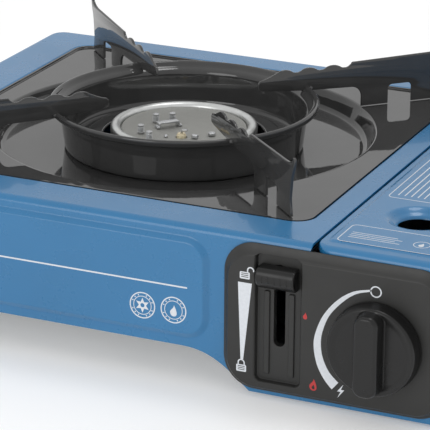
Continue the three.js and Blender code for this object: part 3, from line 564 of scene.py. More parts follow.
def flame_plate_finish():
    """Fine woven heat-resistant mesh pressed onto the burner's plate."""
    finish = Finish("flame_plate_mesh", (0.36, 0.36, 0.34), 0.5, 0.6)
    warp = (finish.axis("X") * 9500).math("SINE")
    weft = (finish.axis("Y") * 9500).math("SINE")
    weave = warp * weft
    finish.tinted(weave.band(-0.6, 0.6), 0.62, 1.12)
    finish.set("Roughness", finish.noise(300, 3) * 0.2 + 0.38)
    finish.set("Normal", finish.bump(weave, 0.09, 0.7))
    return finish.material


def galvanised_finish():
    """Zinc-coated sheet with its spangle."""
    finish = Finish("galvanised_sheet", (0.42, 0.44, 0.45), 0.42, 0.9)
    spangle = finish.cells(160)
    tone = Value(finish, finish.node(
        "ShaderNodeRGBToBW", {}, {0: spangle.outputs["Color"]}).outputs[0])
    finish.tinted(tone.band(0.2, 0.8), 0.78, 1.16)
    finish.set("Roughness", tone * 0.2 + finish.noise(60, 3) * 0.12 + 0.28)
    finish.set("Normal", finish.bump(finish.noise(900, 3), 0.01, 0.5))
    return finish.material


def steel_finish():
    """Plain zinc-plated steel of screws, pins and wire."""
    finish = Finish("steel", (0.56, 0.57, 0.58), 0.3, 1.0)
    finish.tinted(finish.noise(400, 4), 0.8, 1.12)
    finish.set("Roughness", finish.noise(350, 4) * 0.2 + 0.2)
    finish.set("Normal", finish.bump(finish.noise(1600, 2, stretch=(1, 1, 5)), 0.012, 0.5))
    return finish.material


def brass_finish():
    """Turned brass, slightly dulled."""
    finish = Finish("brass", (0.62, 0.44, 0.17), 0.3, 1.0)
    finish.tinted(finish.noise(300, 4), 0.75, 1.1)
    finish.set("Roughness", finish.noise(260, 4) * 0.2 + 0.2)
    finish.set("Normal", finish.bump(finish.noise(1500, 2, stretch=(1, 6, 1)), 0.01, 0.5))
    return finish.material


def zinc_finish():
    """Die-cast zinc with a matt, faintly grainy skin."""
    finish = Finish("die_cast_zinc", (0.36, 0.38, 0.39), 0.5, 0.85)
    finish.tinted(finish.noise(180, 4), 0.8, 1.12)
    finish.set("Roughness", finish.noise(240, 4) * 0.16 + 0.42)
    finish.set("Normal", finish.bump(finish.noise(1300, 3), 0.03, 0.6))
    return finish.material


def ceramic_finish():
    """Glazed cream ceramic, browned where the flame licks it."""
    finish = Finish("ceramic", (0.80, 0.72, 0.50), 0.25, Coat_Weight=0.3, Coat_Roughness=0.1)
    scorch = (finish.axis("Z") - BOWL_HIGH.z * MM) * 250 + finish.noise(600, 3)
    finish.set("Base Color", finish.mix(
        scorch.band(0.0, 1.2), (0.80, 0.72, 0.50, 1), (0.42, 0.30, 0.14, 1)))
    finish.set("Roughness", finish.noise(500, 3) * 0.2 + 0.18)
    finish.set("Normal", finish.bump(finish.noise(1200, 2), 0.01, 0.5))
    return finish.material


def rubber_finish():
    """Matt black rubber with a dusty bloom."""
    finish = Finish("black_rubber", (0.022, 0.022, 0.023), 0.85)
    finish.tinted(finish.noise(200, 5), 0.7, 1.6)
    finish.set("Roughness", finish.noise(300, 3) * 0.16 + 0.74)
    finish.set("Normal", finish.bump(finish.noise(1500, 3), 0.05, 0.6))
    return finish.material


def lead_finish():
    """Red silicone insulation."""
    finish = Finish("lead_insulation", (0.34, 0.03, 0.022), 0.5)
    finish.tinted(finish.noise(240, 4), 0.8, 1.15)
    finish.set("Roughness", finish.noise(300, 3) * 0.16 + 0.4)
    finish.set("Normal", finish.bump(finish.noise(900, 2), 0.02, 0.5))
    return finish.material


def ink_finish(name, colour):
    """Screen-printed ink with slightly uneven cover."""
    finish = Finish(name, tuple(colour), 0.45)
    finish.tinted(finish.noise(700, 4), 0.88, 1.08)
    finish.set("Roughness", finish.noise(500, 3) * 0.16 + 0.36)
    finish.set("Normal", finish.bump(finish.noise(2200, 2), 0.005, 0.4))
    return finish.material


def floor_finish():
    """Plain pale floor."""
    finish = Finish("pale_floor", (0.9, 0.9, 0.9), 0.6, Emission_Color=(1, 1, 1, 1), Emission_Strength=0.2)
    finish.tinted(finish.noise(3, 2), 0.99, 1.01)
    finish.set("Roughness", finish.noise(20, 2) * 0.1 + 0.6)
    return finish.material


FINISH_MAKERS = {
    "blue_paint": paint_finish, "black_enamel": enamel_finish, "panel_plastic": panel_finish,
    "knob_plastic": knob_finish, "burner_aluminium": cast_aluminium_finish,
    "flame_plate_mesh": flame_plate_finish, "galvanised_sheet": galvanised_finish, "steel": steel_finish,
    "brass": brass_finish, "die_cast_zinc": zinc_finish, "ceramic": ceramic_finish,
    "black_rubber": rubber_finish, "lead_insulation": lead_finish,
    "white_ink": lambda: ink_finish("white_ink", colours().ink),
    "red_ink": lambda: ink_finish("red_ink", colours().red_ink), "pale_floor": floor_finish,
}


def finish_of(name):
    """The finish's material, made the first time it is asked for."""
    return bpy.data.materials.get(f"{name}_finish") or FINISH_MAKERS[name]()


# ---------------------------------------------------------------- case


def case_loop(inset, z, corner_steps=10):
    outline = rounded_box(
        CASE_LEFT + inset, CASE_FRONT + inset, CASE_RIGHT - inset, CASE_BACK - inset,
        CASE_CORNER - inset, corner_steps)
    return at_height(outline, z)


def opening_loop(inset, z, corner_steps=10):
    """The tray's opening in the case, smaller by the inset."""
    half_x = (TRAY_HIGH.x - TRAY_LOW.x) / 2 + GAP - inset
    half_y = (TRAY_HIGH.y - TRAY_LOW.y) / 2 + GAP - inset
    radius = max(10 - inset, 2)
    outline = rounded_box(
        TRAY_CENTRE.x - half_x, TRAY_CENTRE.y - half_y, TRAY_CENTRE.x + half_x, TRAY_CENTRE.y + half_y,
        radius, corner_steps)
    return at_height(outline, z)


def quarter(radius, steps=6):
    """(out, up) steps round a quarter from a wall onto a flat: out shrinks as up grows."""
    turns = [math.pi / 2 * i / steps for i in range(steps + 1)]
    return [(radius * (1 - math.cos(t)), radius * (1 - math.sin(t))) for t in turns]


def case_skin():
    """The pressed case's outside, over its top and down the rolled edge of the opening."""
    edge = sizes().edge_round / MM
    roll = sizes().opening_round / MM
    ledge = CASE_TOP - 2.4
    loops = [case_loop(0, CASE_BOTTOM)]
    loops += [case_loop(inset, CASE_TOP - drop) for inset, drop in quarter(edge, 8)]
    loops += [opening_loop(out - roll, CASE_TOP - drop) for out, drop in
              [(roll * math.sin(math.pi / 12 * i), roll * (1 - math.cos(math.pi / 12 * i))) for i in range(7)]]
    loops += [opening_loop(0, ledge + 0.8), opening_loop(0.25, ledge + 0.25), opening_loop(0.8, ledge)]
    loops += [opening_loop(3, ledge)]
    return loft(loops)


def field_pad(margin, depth):
    """The raised field's pad: rounded box loops that slope up from the front wall."""
    left, right, low, high, corner = -150.0, 47.5, 24.0, 76.0, 12.0
    proud = sizes().field_height / MM
    section = [(-0.9, -depth), (-0.9, 0.0), (-0.35, 0.10), (0.15, 0.42), (2.1, proud - 0.36),
               (2.55, proud - 0.08), (3.2, proud)]
    loops = []
    for inset, out in section:
        total = inset + margin
        outline = rounded_box(left + total, low + total, right - total, high - total, corner - inset, 10)
        loops.append(on_front(outline, CASE_FRONT + margin - out))
    return welded(loft(loops, True, True))


def arch_outline():
    """The gap under the front and back walls, between the legs."""
    height, foot = 19.1, CASE_BOTTOM - 3
    right = bezier((33, height), (49, height), (57, 11.5), (69, CASE_BOTTOM), 14)
    left = bezier((-143, CASE_BOTTOM), (-131, 11.5), (-124, height), (-110, height), 14)
    return [(-143, foot), *left, *right, (69, foot)]


def bezier(start, first, second, end, steps):
    points = []
    for i in range(steps + 1):
        t = i / steps
        weights = ((1 - t) ** 3, 3 * t * (1 - t) ** 2, 3 * t * t * (1 - t), t ** 3)
        points.append(tuple(
            sum(w * p[k] for w, p in zip(weights, (start, first, second, end))) for k in (0, 1)))
    return points


def lid_room(margin):
    """The space that the lid takes, as two boxes: its top and its side flap."""
    skirt = LID_TOP_SKIRT - margin
    top = block((SEAM - margin, CASE_FRONT - 9, skirt), (CASE_RIGHT + 9, CASE_BACK + 9, CASE_TOP + 9))
    reach = FLAP_HALF + margin
    middle = (CASE_FRONT + CASE_BACK) / 2
    flap = block(
        (CASE_RIGHT - 8, middle - reach, LID_LOW.z - margin), (CASE_RIGHT + 9, middle + reach, CASE_TOP - 1))
    return top, flap


LID_TOP_SKIRT = 78.0
FLAP_HALF = 121.5
PIVOT = centre_mm("hinge_pin_front")


def rod_y(radius, x, z, y0, y1, steps=32):
    return prism_y(arc((x, z), radius, 0, 360, steps)[:-1], y0, y1)


def rod_x(radius, y, z, x0, x1, steps=24):
    return prism_x(arc((y, z), radius, 0, 360, steps)[:-1], x0, x1)


class BuildCase(bpy.types.Operator):
    """Builds the blue pressed case with its raised field, opening, arches and leg plates"""

    bl_idname = "stove.build_case"
    bl_label = "Case"

    def execute(self, context):
        shell = thickened(case_skin(), SHEET)
        shell = combined(shell, field_pad(0, 0.8), "UNION")
        front, back = CASE_FRONT - 9, CASE_BACK + 9
        shell = cut(
            shell, field_pad(SHEET, 3), prism_y(arch_outline(), front, back),
            prism_x(rounded_box(*self.side_gap(), 9), CASE_LEFT - 9, CASE_RIGHT + 9),
            *lid_room(GAP),
            prism_y(rounded_box(PANEL_LOW.x + 5, 9.7, PANEL_HIGH.x - 5, 71, 8), front, CASE_FRONT + 4),
            rod_y(5.6, PIVOT.x, PIVOT.z, front, CASE_FRONT + 4),
            rod_y(5.6, PIVOT.x, PIVOT.z, CASE_BACK - 4, back))
        for node in ("base_screw_front_left", "base_screw_back_left"):
            screw = centre_mm(node)
            shell = cut(shell, rod_x(1.9, screw.y, screw.z, CASE_LEFT - 9, CASE_RIGHT + 9))
        plates = [self.leg_plate(centre_mm(f"foot_{corner}")) for corner in CORNERS]
        add_piece(
            "case_shell", joined(welded(shell), *plates), finish_of("blue_paint"), "case",
            ["body_shell"], even=True)
        return {"FINISHED"}

    def side_gap(self):
        middle = (CASE_FRONT + CASE_BACK) / 2
        return middle - 95, -11, middle + 95, 11

    def leg_plate(self, foot):
        """A corner plate under a leg, with the hole for its rubber foot."""
        side_x = math.copysign(1, foot.x)
        side_y = math.copysign(1, foot.y - (CASE_FRONT + CASE_BACK) / 2)
        outer_x, outer_y = foot.x + side_x * 16, foot.y + side_y * 16
        inner_x, inner_y = foot.x - side_x * 9, foot.y - side_y * 9
        outline = rounded_box(
            min(outer_x, inner_x), min(outer_y, inner_y), max(outer_x, inner_x), max(outer_y, inner_y), 6)
        hole = arc((foot.x, foot.y), 3, 0, 360, 32)[:-1]
        return shifted(plate([outline, hole], SHEET, 0.15), z=3.3)


CORNERS = ("front_left", "front_right", "back_left", "back_right")


class BuildLid(bpy.types.Operator):
    """Builds the cartridge bay's lid with its pressed field, vent and side flap"""

    bl_idname = "stove.build_lid"
    bl_label = "Lid"

    def loop(self, inset, drop, fold):
        """One loop of the lid: the seam's side folds tighter than the other three."""
        side = inset if fold is None else fold[0]
        low = drop if fold is None else fold[1]
        outline = rounded_box(
            LID_LOW.x + side, CASE_FRONT + inset, CASE_RIGHT - inset, CASE_BACK - inset,
            max(CASE_CORNER - inset, 3), 10)
        reach = 14
        points = []
        for x, y in outline:
            share = min(max((x - LID_LOW.x - side) / reach, 0), 1)
            points.append((x, y, CASE_TOP - (low * (1 - share) + drop * share)))
        return points

    def execute(self, context):
        rise = sizes().lid_emboss / MM
        edge = sizes().edge_round / MM
        tight = 1.5
        loops = [self.loop(0, CASE_TOP - 30, (0, 7))]
        for (inset, drop), (side, low) in zip(quarter(edge, 8), quarter(tight, 8)):
            loops.append(self.loop(inset, drop, (side, low)))
        for inset, side, up in ((7.6, 3.4, 0.0), (8.3, 3.9, 0.15), (9.6, 4.9, rise - 0.15), (10.4, 5.5, rise)):
            loops.append(self.loop(inset, -up, (side, -up)))
        skin = loft(loops, cap_end=True)
        lid = thickened(skin, SHEET)
        middle = (CASE_FRONT + CASE_BACK) / 2
        front, back = CASE_FRONT - 9, CASE_BACK + 9
        left, right = LID_LOW.x - 9, CASE_RIGHT + 9
        inner = CASE_RIGHT - 8
        ear_room = []
        for end in ("front", "back"):
            pin = centre_mm(f"hinge_pin_{end}")
            ear_room.append(block((left, pin.y - 2.4, 20), (left + 13, pin.y + 2.4, CASE_TOP - SHEET)))
        lid = cut(
            lid, *ear_room, block((left + 12, front, 20), (inner, back, LID_TOP_SKIRT)),
            block((inner - 1, middle + FLAP_HALF, 20), (right, back, LID_TOP_SKIRT)),
            block((inner - 1, front, 20), (right, middle - FLAP_HALF, LID_TOP_SKIRT)),
            block((inner - 1, front, 20), (right, back, LID_LOW.z)),
            block((left, front, 20), (left + 13, middle - 126.5, LID_TOP_SKIRT)),
            block((left, middle + 126.5, 20), (left + 13, back, LID_TOP_SKIRT)),
            block((left, front, 20), (left + 13, back, 75)),
            turned([(0, 70), (VENT_DISH, 70), (VENT_DISH, 90), (0, 90)], VENT, 96))
        add_piece(
            "lid_shell", joined(welded(lid), self.vent(rise), *self.lugs()), finish_of("blue_paint"), "lid",
            ["canister_lid"], even=True)
        return {"FINISHED"}

    def vent(self, rise):
        """The dished surround that turns down into the vent hole."""
        top = CASE_TOP + rise
        hole = sizes().vent_radius / MM
        skin = [(VENT_DISH, top), (VENT_DISH - 0.6, top - 0.05), (VENT_DISH - 2, top - 0.35)]
        skin += [(hole + 3.4, top - 1.8), (hole + 2.0, top - 2.4), (hole + 1.0, top - 2.9)]
        skin += [(hole + 0.3, top - 3.5), (hole, top - 4.3)]
        back = [(radius + 0.25, height - SHEET) for radius, height in reversed(skin[1:-1])]
        under = [(hole + SHEET, top - 4.3)] + back + [(VENT_DISH, top - SHEET)]
        return turned(skin + under, VENT, 96, closed=True)

    def lugs(self):
        """Two ears below the seam edge that swing on the hinge pins."""
        ears = []
        for end, outward in (("front", -0.8), ("back", 0.8)):
            pin = centre_mm(f"hinge_pin_{end}")
            outline = [(PIVOT.x - 3.2, PIVOT.z - 3), (PIVOT.x + 3, PIVOT.z - 3.4),
                       (PIVOT.x + 3.6, CASE_TOP - 1), (PIVOT.x - 3.2, CASE_TOP - 1)]
            hole = arc((PIVOT.x, PIVOT.z), 1.8, 0, 360, 24)[:-1]
            ears.append(upright(plate([outline, hole], SHEET, 0.1), pin.y + outward))
        return ears


VENT = (134.5, -73.0)
VENT_DISH = 17.5


# ---------------------------------------------------------------- drip tray and pan support


class BuildTray(bpy.types.Operator):
    """Builds the black enamelled drip tray with its low lip, round dish and hump"""

    bl_idname = "stove.build_tray"
    bl_label = "Drip tray"

    def execute(self, context):
        rim = TRAY_HIGH.z
        floor, dish = TRAY_FLOOR, 71.0
        square = [(1.4, rim), (1.4, rim - 0.3), (1.55, floor + 0.34), (1.9, floor + 0.1), (2.4, floor)]
        rings = [(104.6, floor), (103.6, floor - 0.06), (102.8, floor - 0.35), (102.1, floor - 1.0),
                 (100.6, floor - 3.9), (99.4, dish + 2.4), (98.4, dish + 1.0), (97.2, dish + 0.3),
                 (95.6, dish), (58, dish), (56.6, dish + 0.25), (55.2, dish + 1.3), (53.8, dish + 3.6),
                 (52.8, dish + 5.1), (51.8, dish + 5.8), (50.6, dish + 6.0), (44.8, dish + 6.0),
                 (44.0, dish + 5.8), (43.6, dish + 5.2)]
        outline = [self.square(inset) for inset, _ in square]
        loops = [at_height(points, z) for points, (_, z) in zip(outline, square)]
        turns = [math.atan2(y - BURNER.y, x - BURNER.x) for x, y in outline[-1]]
        for radius, z in rings:
            loops.append([(BURNER.x + radius * math.cos(t), BURNER.y + radius * math.sin(t), z) for t in turns])
        tray = thickened(loft(loops), 1.0)
        add_piece(
            "drip_tray_enamelled", welded(tray), finish_of("black_enamel"), "tray",
            ["drip_tray"], angle=40, even=True)
        return {"FINISHED"}

    def square(self, inset):
        half_x = (TRAY_HIGH.x - TRAY_LOW.x) / 2 + GAP - inset
        half_y = (TRAY_HIGH.y - TRAY_LOW.y) / 2 + GAP - inset
        return rounded_box(
            TRAY_CENTRE.x - half_x, TRAY_CENTRE.y - half_y, TRAY_CENTRE.x + half_x, TRAY_CENTRE.y + half_y,
            max(10 - inset, 4), 10, 30)


TRAY_FLOOR = 81.0

FIN_TURNS = {"front_left": 225, "front_right": 315, "back_left": 135, "back_right": 45}
FIN_THICKNESS = 1.4
RING_RADIUS = 72.0


def fin_outline():
    """A pan support in its own plane, as (distance from the burner's axis, height)."""
    inner, leg, outer, foot = 42.4, 103.0, 151.6, FIN_LOW.z
    left, right, top, corner = 119.0, 133.0, 92.0, 2.4
    points = [(inner, 96.6), (46, 95.7), (69, 93.6), (leg - 6.4, 92.8)]
    points += arc((leg - 6, 86.8), 6.0, 84, 0, 7)
    points += [(leg, foot), (left, foot)]
    points += arc((left + corner, top - corner), corner, 180, 90, 6)
    points += arc((right - corner, top - corner), corner, 90, 0, 6)
    points += [(right, foot), (outer, foot), (outer - 0.7, foot + 4), (outer - 1.6, 90), (outer, 100.4)]
    points += bezier((outer, 100.4), (outer + 0.8, 104), (outer + 3.4, 107), (outer + 3.4, 110.2), 6)[1:]
    points += arc((outer + 2.2, 111.0), 1.2, 10, 160, 6)
    points += bezier((outer + 0.8, 110.8), (outer - 1.6, 108.9), (outer - 4, 108.3), (outer - 8, 108.1), 6)
    points += [(99.4, 107.0)]
    points += arc((98.0, 105.7), 1.3, 90, 170, 4)
    pitch, crest, trough = 14.2, 106.7, 104.3
    for tooth in range(3):
        right = 93 - tooth * pitch
        points += [(right + 2.0, trough + 0.3), (right + 0.9, trough), (right - 0.9, trough)]
        points += bezier((right - 2.0, trough + 0.4), (right - 4.6, crest), (right - 9.2, crest + 0.2),
                         (right - pitch + 2.8, trough + 0.6), 8)
    points += [(49.2, 103.1), (46, 101.9), (inner + 1.2, 101.4), (inner, 100.2)]
    return points


class BuildPanSupport(bpy.types.Operator):
    """Builds the support ring and its four welded fins"""

    bl_idname = "stove.build_pan_support"
    bl_label = "Pan support"

    def execute(self, context):
        self.ring()
        for corner, turn in FIN_TURNS.items():
            self.fin(corner, turn)
        return {"FINISHED"}

    def ring(self):
        foot, rim, lip = RING_LOW.z, RING_HIGH.z, RING_RADIUS
        profile = [(57.0, foot + 0.5), (57.2, foot + 0.1), (58, foot), (62.6, foot), (63.6, foot + 0.4),
                   (64.0, foot + 1.3), (64.3, 75), (65.0, 81), (65.7, 87), (66.0, 90), (66.4, 91.2),
                   (67.4, 91.9), (lip - 1.4, rim - 4), (lip - 0.6, rim - 3.7), (lip, rim - 2.8)]
        profile += arc((lip - 1.1, rim - 1.1), 1.1, 0, 90, 6)
        profile += [(lip - 1.7, rim - 0.1), (lip - 2.3, rim - 0.5), (lip - 2.7, rim - 1.2),
                    (68.6, 93.9), (67.4, 93.2), (65.8, 92.5), (65.0, 91.4), (64.8, 90), (64.5, 87),
                    (63.8, 81), (63.1, 76), (62.5, 74), (61.2, 73), (59.5, 72.5), (58, foot + 1),
                    (57.2, foot + 0.9)]
        mesh = turned(profile, (BURNER.x, BURNER.y), 160, closed=True)
        add_piece(
            "support_ring_enamelled", mesh, finish_of("black_enamel"), "support",
            ["support_ring"], angle=50)

    def fin(self, corner, turn):
        place = (
            Matrix.Translation((BURNER.x, BURNER.y, 0))
            @ Matrix.Rotation(math.radians(turn), 4, "Z")
            @ Matrix.Rotation(math.pi / 2, 4, "X"))
        blade = plate([fin_outline()], FIN_THICKNESS, 0.42, 2)
        welds = [self.weld(side) for side in (-1, 1)]
        mesh = moved(joined(blade, *welds), place)
        add_piece(
            f"fin_{corner}", mesh, finish_of("black_enamel"), "support",
            [f"support_fin_{corner}"], angle=50)

    def weld(self, side):
        """A small weld where the fin crosses the ring's rim."""
        profile = [(0, 1.5), (0.9, 1.1), (1.4, 0.2), (1.2, -0.9), (0, -1.3)]
        return shifted(turned(profile, steps=20), RING_RADIUS + 0.4 + side * 0.2, RING_HIGH.z - 1.4, side * 0.9)


# ---------------------------------------------------------------- burner


class BuildBurner(bpy.types.Operator):
    """Builds the cast burner bowl, its flame plate, posts, bridge and the small parts on the plate"""

    bl_idname = "stove.build_burner"
    bl_label = "Burner"

    def execute(self, context):
        self.bowl()
        self.flame_plate()
        self.posts()
        self.bridge()
        self.plate_parts()
        return {"FINISHED"}

    def bowl(self):
        rim, outer, inner, floor, ledge = BOWL_HIGH.z, 39.4, 34.0, 66.0, 79.6
        profile = [(0, 62), (30, 62), (33, 62.6), (36, 65.2), (38, 67.8), (39.0, 70), (outer, 74)]
        profile += [(outer, rim - 2.4)] + arc((outer - 2.2, rim - 2.2), 2.2, 0, 90, 8)
        profile += [(inner + 2.2, rim - 0.02), (inner + 1.4, rim - 0.25), (inner + 0.7, rim - 0.8)]
        profile += [(inner + 0.2, rim - 1.6), (inner, rim - 2.4), (inner, ledge + 0.2), (inner - 0.2, ledge)]
        profile += [(inner - 2, ledge), (inner - 2, floor + 1), (inner - 3, floor), (0, floor)]
        bowl = turned(profile, (BURNER.x, BURNER.y), 128)
        electrode = centre_mm("electrode_sleeve")
        tools = [
            self.drill(BURNER.x - 12, BURNER.y + 8, 7.4), self.drill(electrode.x, electrode.y, 3.1),
            *[self.drill(centre_mm(f"burner_screw_{side}").x, centre_mm(f"burner_screw_{side}").y, 1.8, 65)
              for side in ("left", "right")]]
        add_piece(
            "burner_bowl_cast", cut(bowl, *tools), finish_of("burner_aluminium"), "case",
            ["burner_bowl"], angle=40)

    def drill(self, x, y, radius, top=70, bottom=50):
        profile = [(0, bottom), (radius, bottom), (radius, top), (0, top)]
        return turned(profile, (x, y), 32)

    def flame_plate(self):
        low, high = box_mm("flame_plate")
        edge = (high.x - low.x) / 2
        disc = turned(
            [(0, low.z), (edge - 0.2, low.z), (edge, low.z + 0.3), (edge - 0.2, high.z - 0.2),
             (edge - 0.5, high.z), (0, high.z)], (BURNER.x, BURNER.y), 96)
        electrode = centre_mm("electrode_sleeve")
        add_piece(
            "flame_plate_mesh_disc", cut(disc, self.drill(electrode.x, electrode.y, 3.1, 90)),
            finish_of("flame_plate_mesh"), "case", ["flame_plate"], angle=40)

    def posts(self):
        nodes = sorted(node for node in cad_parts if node.startswith("burner_post_"))
        for node in nodes:
            low, high = box_mm(node)
            x, y = (low.x + high.x) / 2, (low.y + high.y) / 2
            base, top = low.z, high.z
            profile = [(0, base), (1.8, base), (1.9, base + 0.2), (1.9, base + 0.8), (1.6, base + 1.0)]
            for turn in range(3):
                z = base + 1.3 + turn * 0.7
                profile += [(1.6, z), (1.8, z + 0.2), (1.8, z + 0.45), (1.6, z + 0.6)]
            profile += [(1.7, top - 0.8), (1.75, top - 0.4), (1.5, top - 0.1), (0.9, top), (0.6, top - 0.5),
                        (0, top - 0.6)]
            add_piece(
                f"{node}_turned", turned(profile, (x, y), 32), finish_of("steel"), "case", [node])

    def bridge(self):
        low, high = box_mm("flame_bridge")
        x, y = (low.x + high.x) / 2, (low.y + high.y) / 2
        base, top = low.z, high.z
        outer = [(-7.2, base), (-5.2, base), (-5.0, base + 0.2), (-5, top - 1.2), (-4.6, top - 0.8)]
        outer += [(4.6, top - 0.8), (5, top - 1.2), (5, base + 0.2), (5.2, base), (7.2, base)]
        outer += [(7.2, base + 0.8), (6.3, base + 0.8), (5.9, base + 1.2), (5.9, top - 0.6), (5.3, top)]
        outer += [(-5.3, top), (-5.9, top - 0.6), (-5.9, base + 1.2), (-6.3, base + 0.8), (-7.2, base + 0.8)]
        strip = plate([outer], 4.4, 0.18, 2)
        place = (
            Matrix.Translation((x, y, 0)) @ Matrix.Rotation(math.radians(48.7), 4, "Z")
            @ Matrix.Rotation(math.pi / 2, 4, "X"))
        add_piece("flame_bridge_bent", moved(strip, place), finish_of("steel"), "case", ["flame_bridge"])

    def plate_parts(self):
        """The post that the spark jumps to, a screw's ring-like head and a rivet."""
        low, high = box_mm("ground_post")
        middle_x, middle_y = (low.x + high.x) / 2, (low.y + high.y) / 2
        steps = ((0.25, low.z), (0.0, low.z + 0.25), (0.0, high.z - 0.6), (0.15, high.z - 0.2), (0.5, high.z))
        loops = [at_height(rounded_box(
            low.x + inset, low.y + inset, high.x - inset, high.y - inset, 0.55 - inset * 0.6, 5), z)
            for inset, z in steps]
        self.small("ground_post", welded(loft(loops, True, True)))
        low, high = box_mm("plate_screw")
        ring = [(0, low.z), (1.9, low.z), (2.0, low.z + 0.2), (2.0, high.z - 0.6)]
        ring += arc((1.5, high.z - 0.5), 0.5, 0, 120, 6)
        ring += [(0.95, high.z - 0.5), (0.9, low.z + 0.9), (0, low.z + 0.85)]
        self.small("plate_screw", turned(ring, ((low.x + high.x) / 2, (low.y + high.y) / 2), 32))
        low, high = box_mm("plate_rivet")
        dome = [(0, low.z), (1.1, low.z), (1.08, low.z + 0.3), (0.9, low.z + 0.7), (0.6, high.z - 0.15), (0, high.z)]
        self.small("plate_rivet", turned(dome, ((low.x + high.x) / 2, (low.y + high.y) / 2), 24))

    def small(self, node, mesh):
        add_piece(f"{node}_formed", mesh, finish_of("steel"), "case", [node])


# ---------------------------------------------------------------- controls


PANEL_FACE = PANEL_LOW.y
CHANNEL = (73.5, 96.5, 9.7, 75.0)
CHANNEL_DEPTH = 3.0


class BuildPanel(bpy.types.Operator):
    """Builds the control panel with its bevel, the lever's channel and the slot in it"""

    bl_idname = "stove.build_panel"
    bl_label = "Control panel"

    def execute(self, context):
        left, right, bottom, top = PANEL_LOW.x, PANEL_HIGH.x, PANEL_LOW.z, PANEL_HIGH.z
        back = CASE_FRONT - GAP
        corner = 16.0
        section = [(0.0, back), (0.0, back - 0.5), (0.12, back - 0.9), (0.42, back - 1.3),
                   (0.80, PANEL_FACE + 0.75), (0.90, PANEL_FACE + 0.42), (0.97, PANEL_FACE + 0.12),
                   (1.06, PANEL_FACE)]
        loops = []
        for share, y in section:
            side, low, high = share * 3.2, share * 2.6, share * 5.6
            outline = rounded_box(
                left + side, bottom + low, right - side, top - high, corner - share * 2.5, 12)
            loops.append(on_front(outline, y))
        face = welded(loft(loops, True, True))
        inner = rounded_box(left + 6, bottom + 7, right - 6, top - 9, 7, 8)
        plug = prism_y(inner, back - 0.6, CASE_FRONT + 2.6)
        panel = combined(face, plug, "UNION")
        knob = rod_y(4.2, KNOB.x, KNOB.z, PANEL_FACE - 9, CASE_FRONT + 9)
        slot = rounded_box(82, 28, 88, 70, 2.9, 8)
        panel = cut(panel, self.channel(), prism_y(slot, PANEL_FACE - 9, CASE_FRONT + 9), knob)
        add_piece(
            "panel_plate", joined(panel, *self.rails()), finish_of("panel_plastic"), "case",
            ["control_panel"], angle=28, even=True)
        return {"FINISHED"}

    def channel(self):
        """The channel that the lever slides in, wider at its mouth."""
        x0, x1, z0, z1 = CHANNEL
        floor = PANEL_FACE + CHANNEL_DEPTH
        loops = []
        for out, y in ((1.3, PANEL_FACE - 6), (1.3, PANEL_FACE - 0.02), (0.75, PANEL_FACE + 0.18),
                       (0.3, PANEL_FACE + 0.6), (0.0, PANEL_FACE + 1.3), (0.0, floor - 0.8),
                       (-0.3, floor - 0.2), (-0.9, floor)):
            outline = rounded_box(x0 - out, z0 - out * 0.4, x1 + out, z1 + out * 0.4, 2.6, 8)
            loops.append(on_front(outline, y))
        return welded(loft(loops, True, True))

    def rails(self):
        """Two low ribs that guide the lever, one on each side of its slot."""
        floor = PANEL_FACE + CHANNEL_DEPTH
        ribs = []
        for x in (78.6, 91.4):
            loops = []
            for inset, y in ((0, floor + 0.3), (0, floor - 0.5), (0.25, floor - 0.85), (0.7, floor - 1.0)):
                outline = rounded_box(x - 1.5 + inset, 13 + inset, x + 1.5 - inset, 56 - inset, 0.75 - inset * 0.5, 5)
                loops.append(on_front(outline, y))
            ribs.append(welded(loft(loops, True, True)))
        return ribs


class BuildKnob(bpy.types.Operator):
    """Builds the rotary knob with its skirt, grip bar and raised pointer"""

    bl_idname = "stove.build_knob"
    bl_label = "Knob"

    def execute(self, context):
        depth = KNOB_HIGH.y - KNOB_LOW.y
        body = 8.0
        radius = (KNOB_HIGH.x - KNOB_LOW.x) / 2
        profile = [(0, 0), (radius - 0.4, 0), (radius, 0.4), (radius, 1.2), (radius - 0.2, 1.6), (radius - 0.4, 2.4)]
        profile += [(radius - 0.7, body - 1.7)] + arc((radius - 2.2, body - 1.5), 1.5, 0, 90, 8)
        profile += [(radius - 3.4, body - 0.1), (radius - 4.4, body - 0.5), (radius - 6, body - 0.7)]
        profile += [(0, body - 0.7)]
        knob = turned(profile, steps=128)
        half = sizes().grip_width / MM / 2
        loops = []
        for inset, height in ((-0.8, 1.5), (-0.8, body - 0.6), (-0.35, body - 0.1), (0.0, body + 0.7),
                              (0.35, depth - 2.0), (0.7, depth - 0.9), (1.3, depth - 0.25), (2.3, depth)):
            reach = radius - 2 - inset
            outline = rounded_box(-half + inset, -reach, half - inset, reach, 5.2 - inset * 0.6, 10)
            loops.append(at_height(outline, height))
        bar = welded(loft(loops, True, True))
        limit = turned([
            (0, -1), (radius - 1, -1), (radius - 1, depth - 1.6), (radius - 2.1, depth + 2), (0, depth + 2)], steps=128)
        knob = combined(knob, combined(bar, limit, "INTERSECT"), "UNION")
        bore = turned([(0, -1), (3.3, -1), (3.3, depth - 3), (0, depth - 3)], steps=48)
        knob = cut(knob, bore)
        pointer = [self.ridge(arc((0, 10.4), 3.4, 0, 180, 14), depth), self.ridge([(0, 8.6), (0, 14.6)], depth)]
        pointer += [self.ridge([(side * 3.4, 10.4), (side * 3.4, 6.4)], depth) for side in (-1, 1)]
        place = Matrix.Translation((KNOB.x, KNOB_HIGH.y, KNOB.z)) @ Matrix.Rotation(math.pi / 2, 4, "X")
        mesh = moved(joined(knob, *pointer), place)
        add_piece(
            "knob_moulded", mesh, finish_of("knob_plastic"), "knob", ["control_knob"],
            angle=36, even=True)
        return {"FINISHED"}

    def ridge(self, path, depth):
        return swept([(x, y, depth - 0.42) for x, y in path], 0.42, 3)


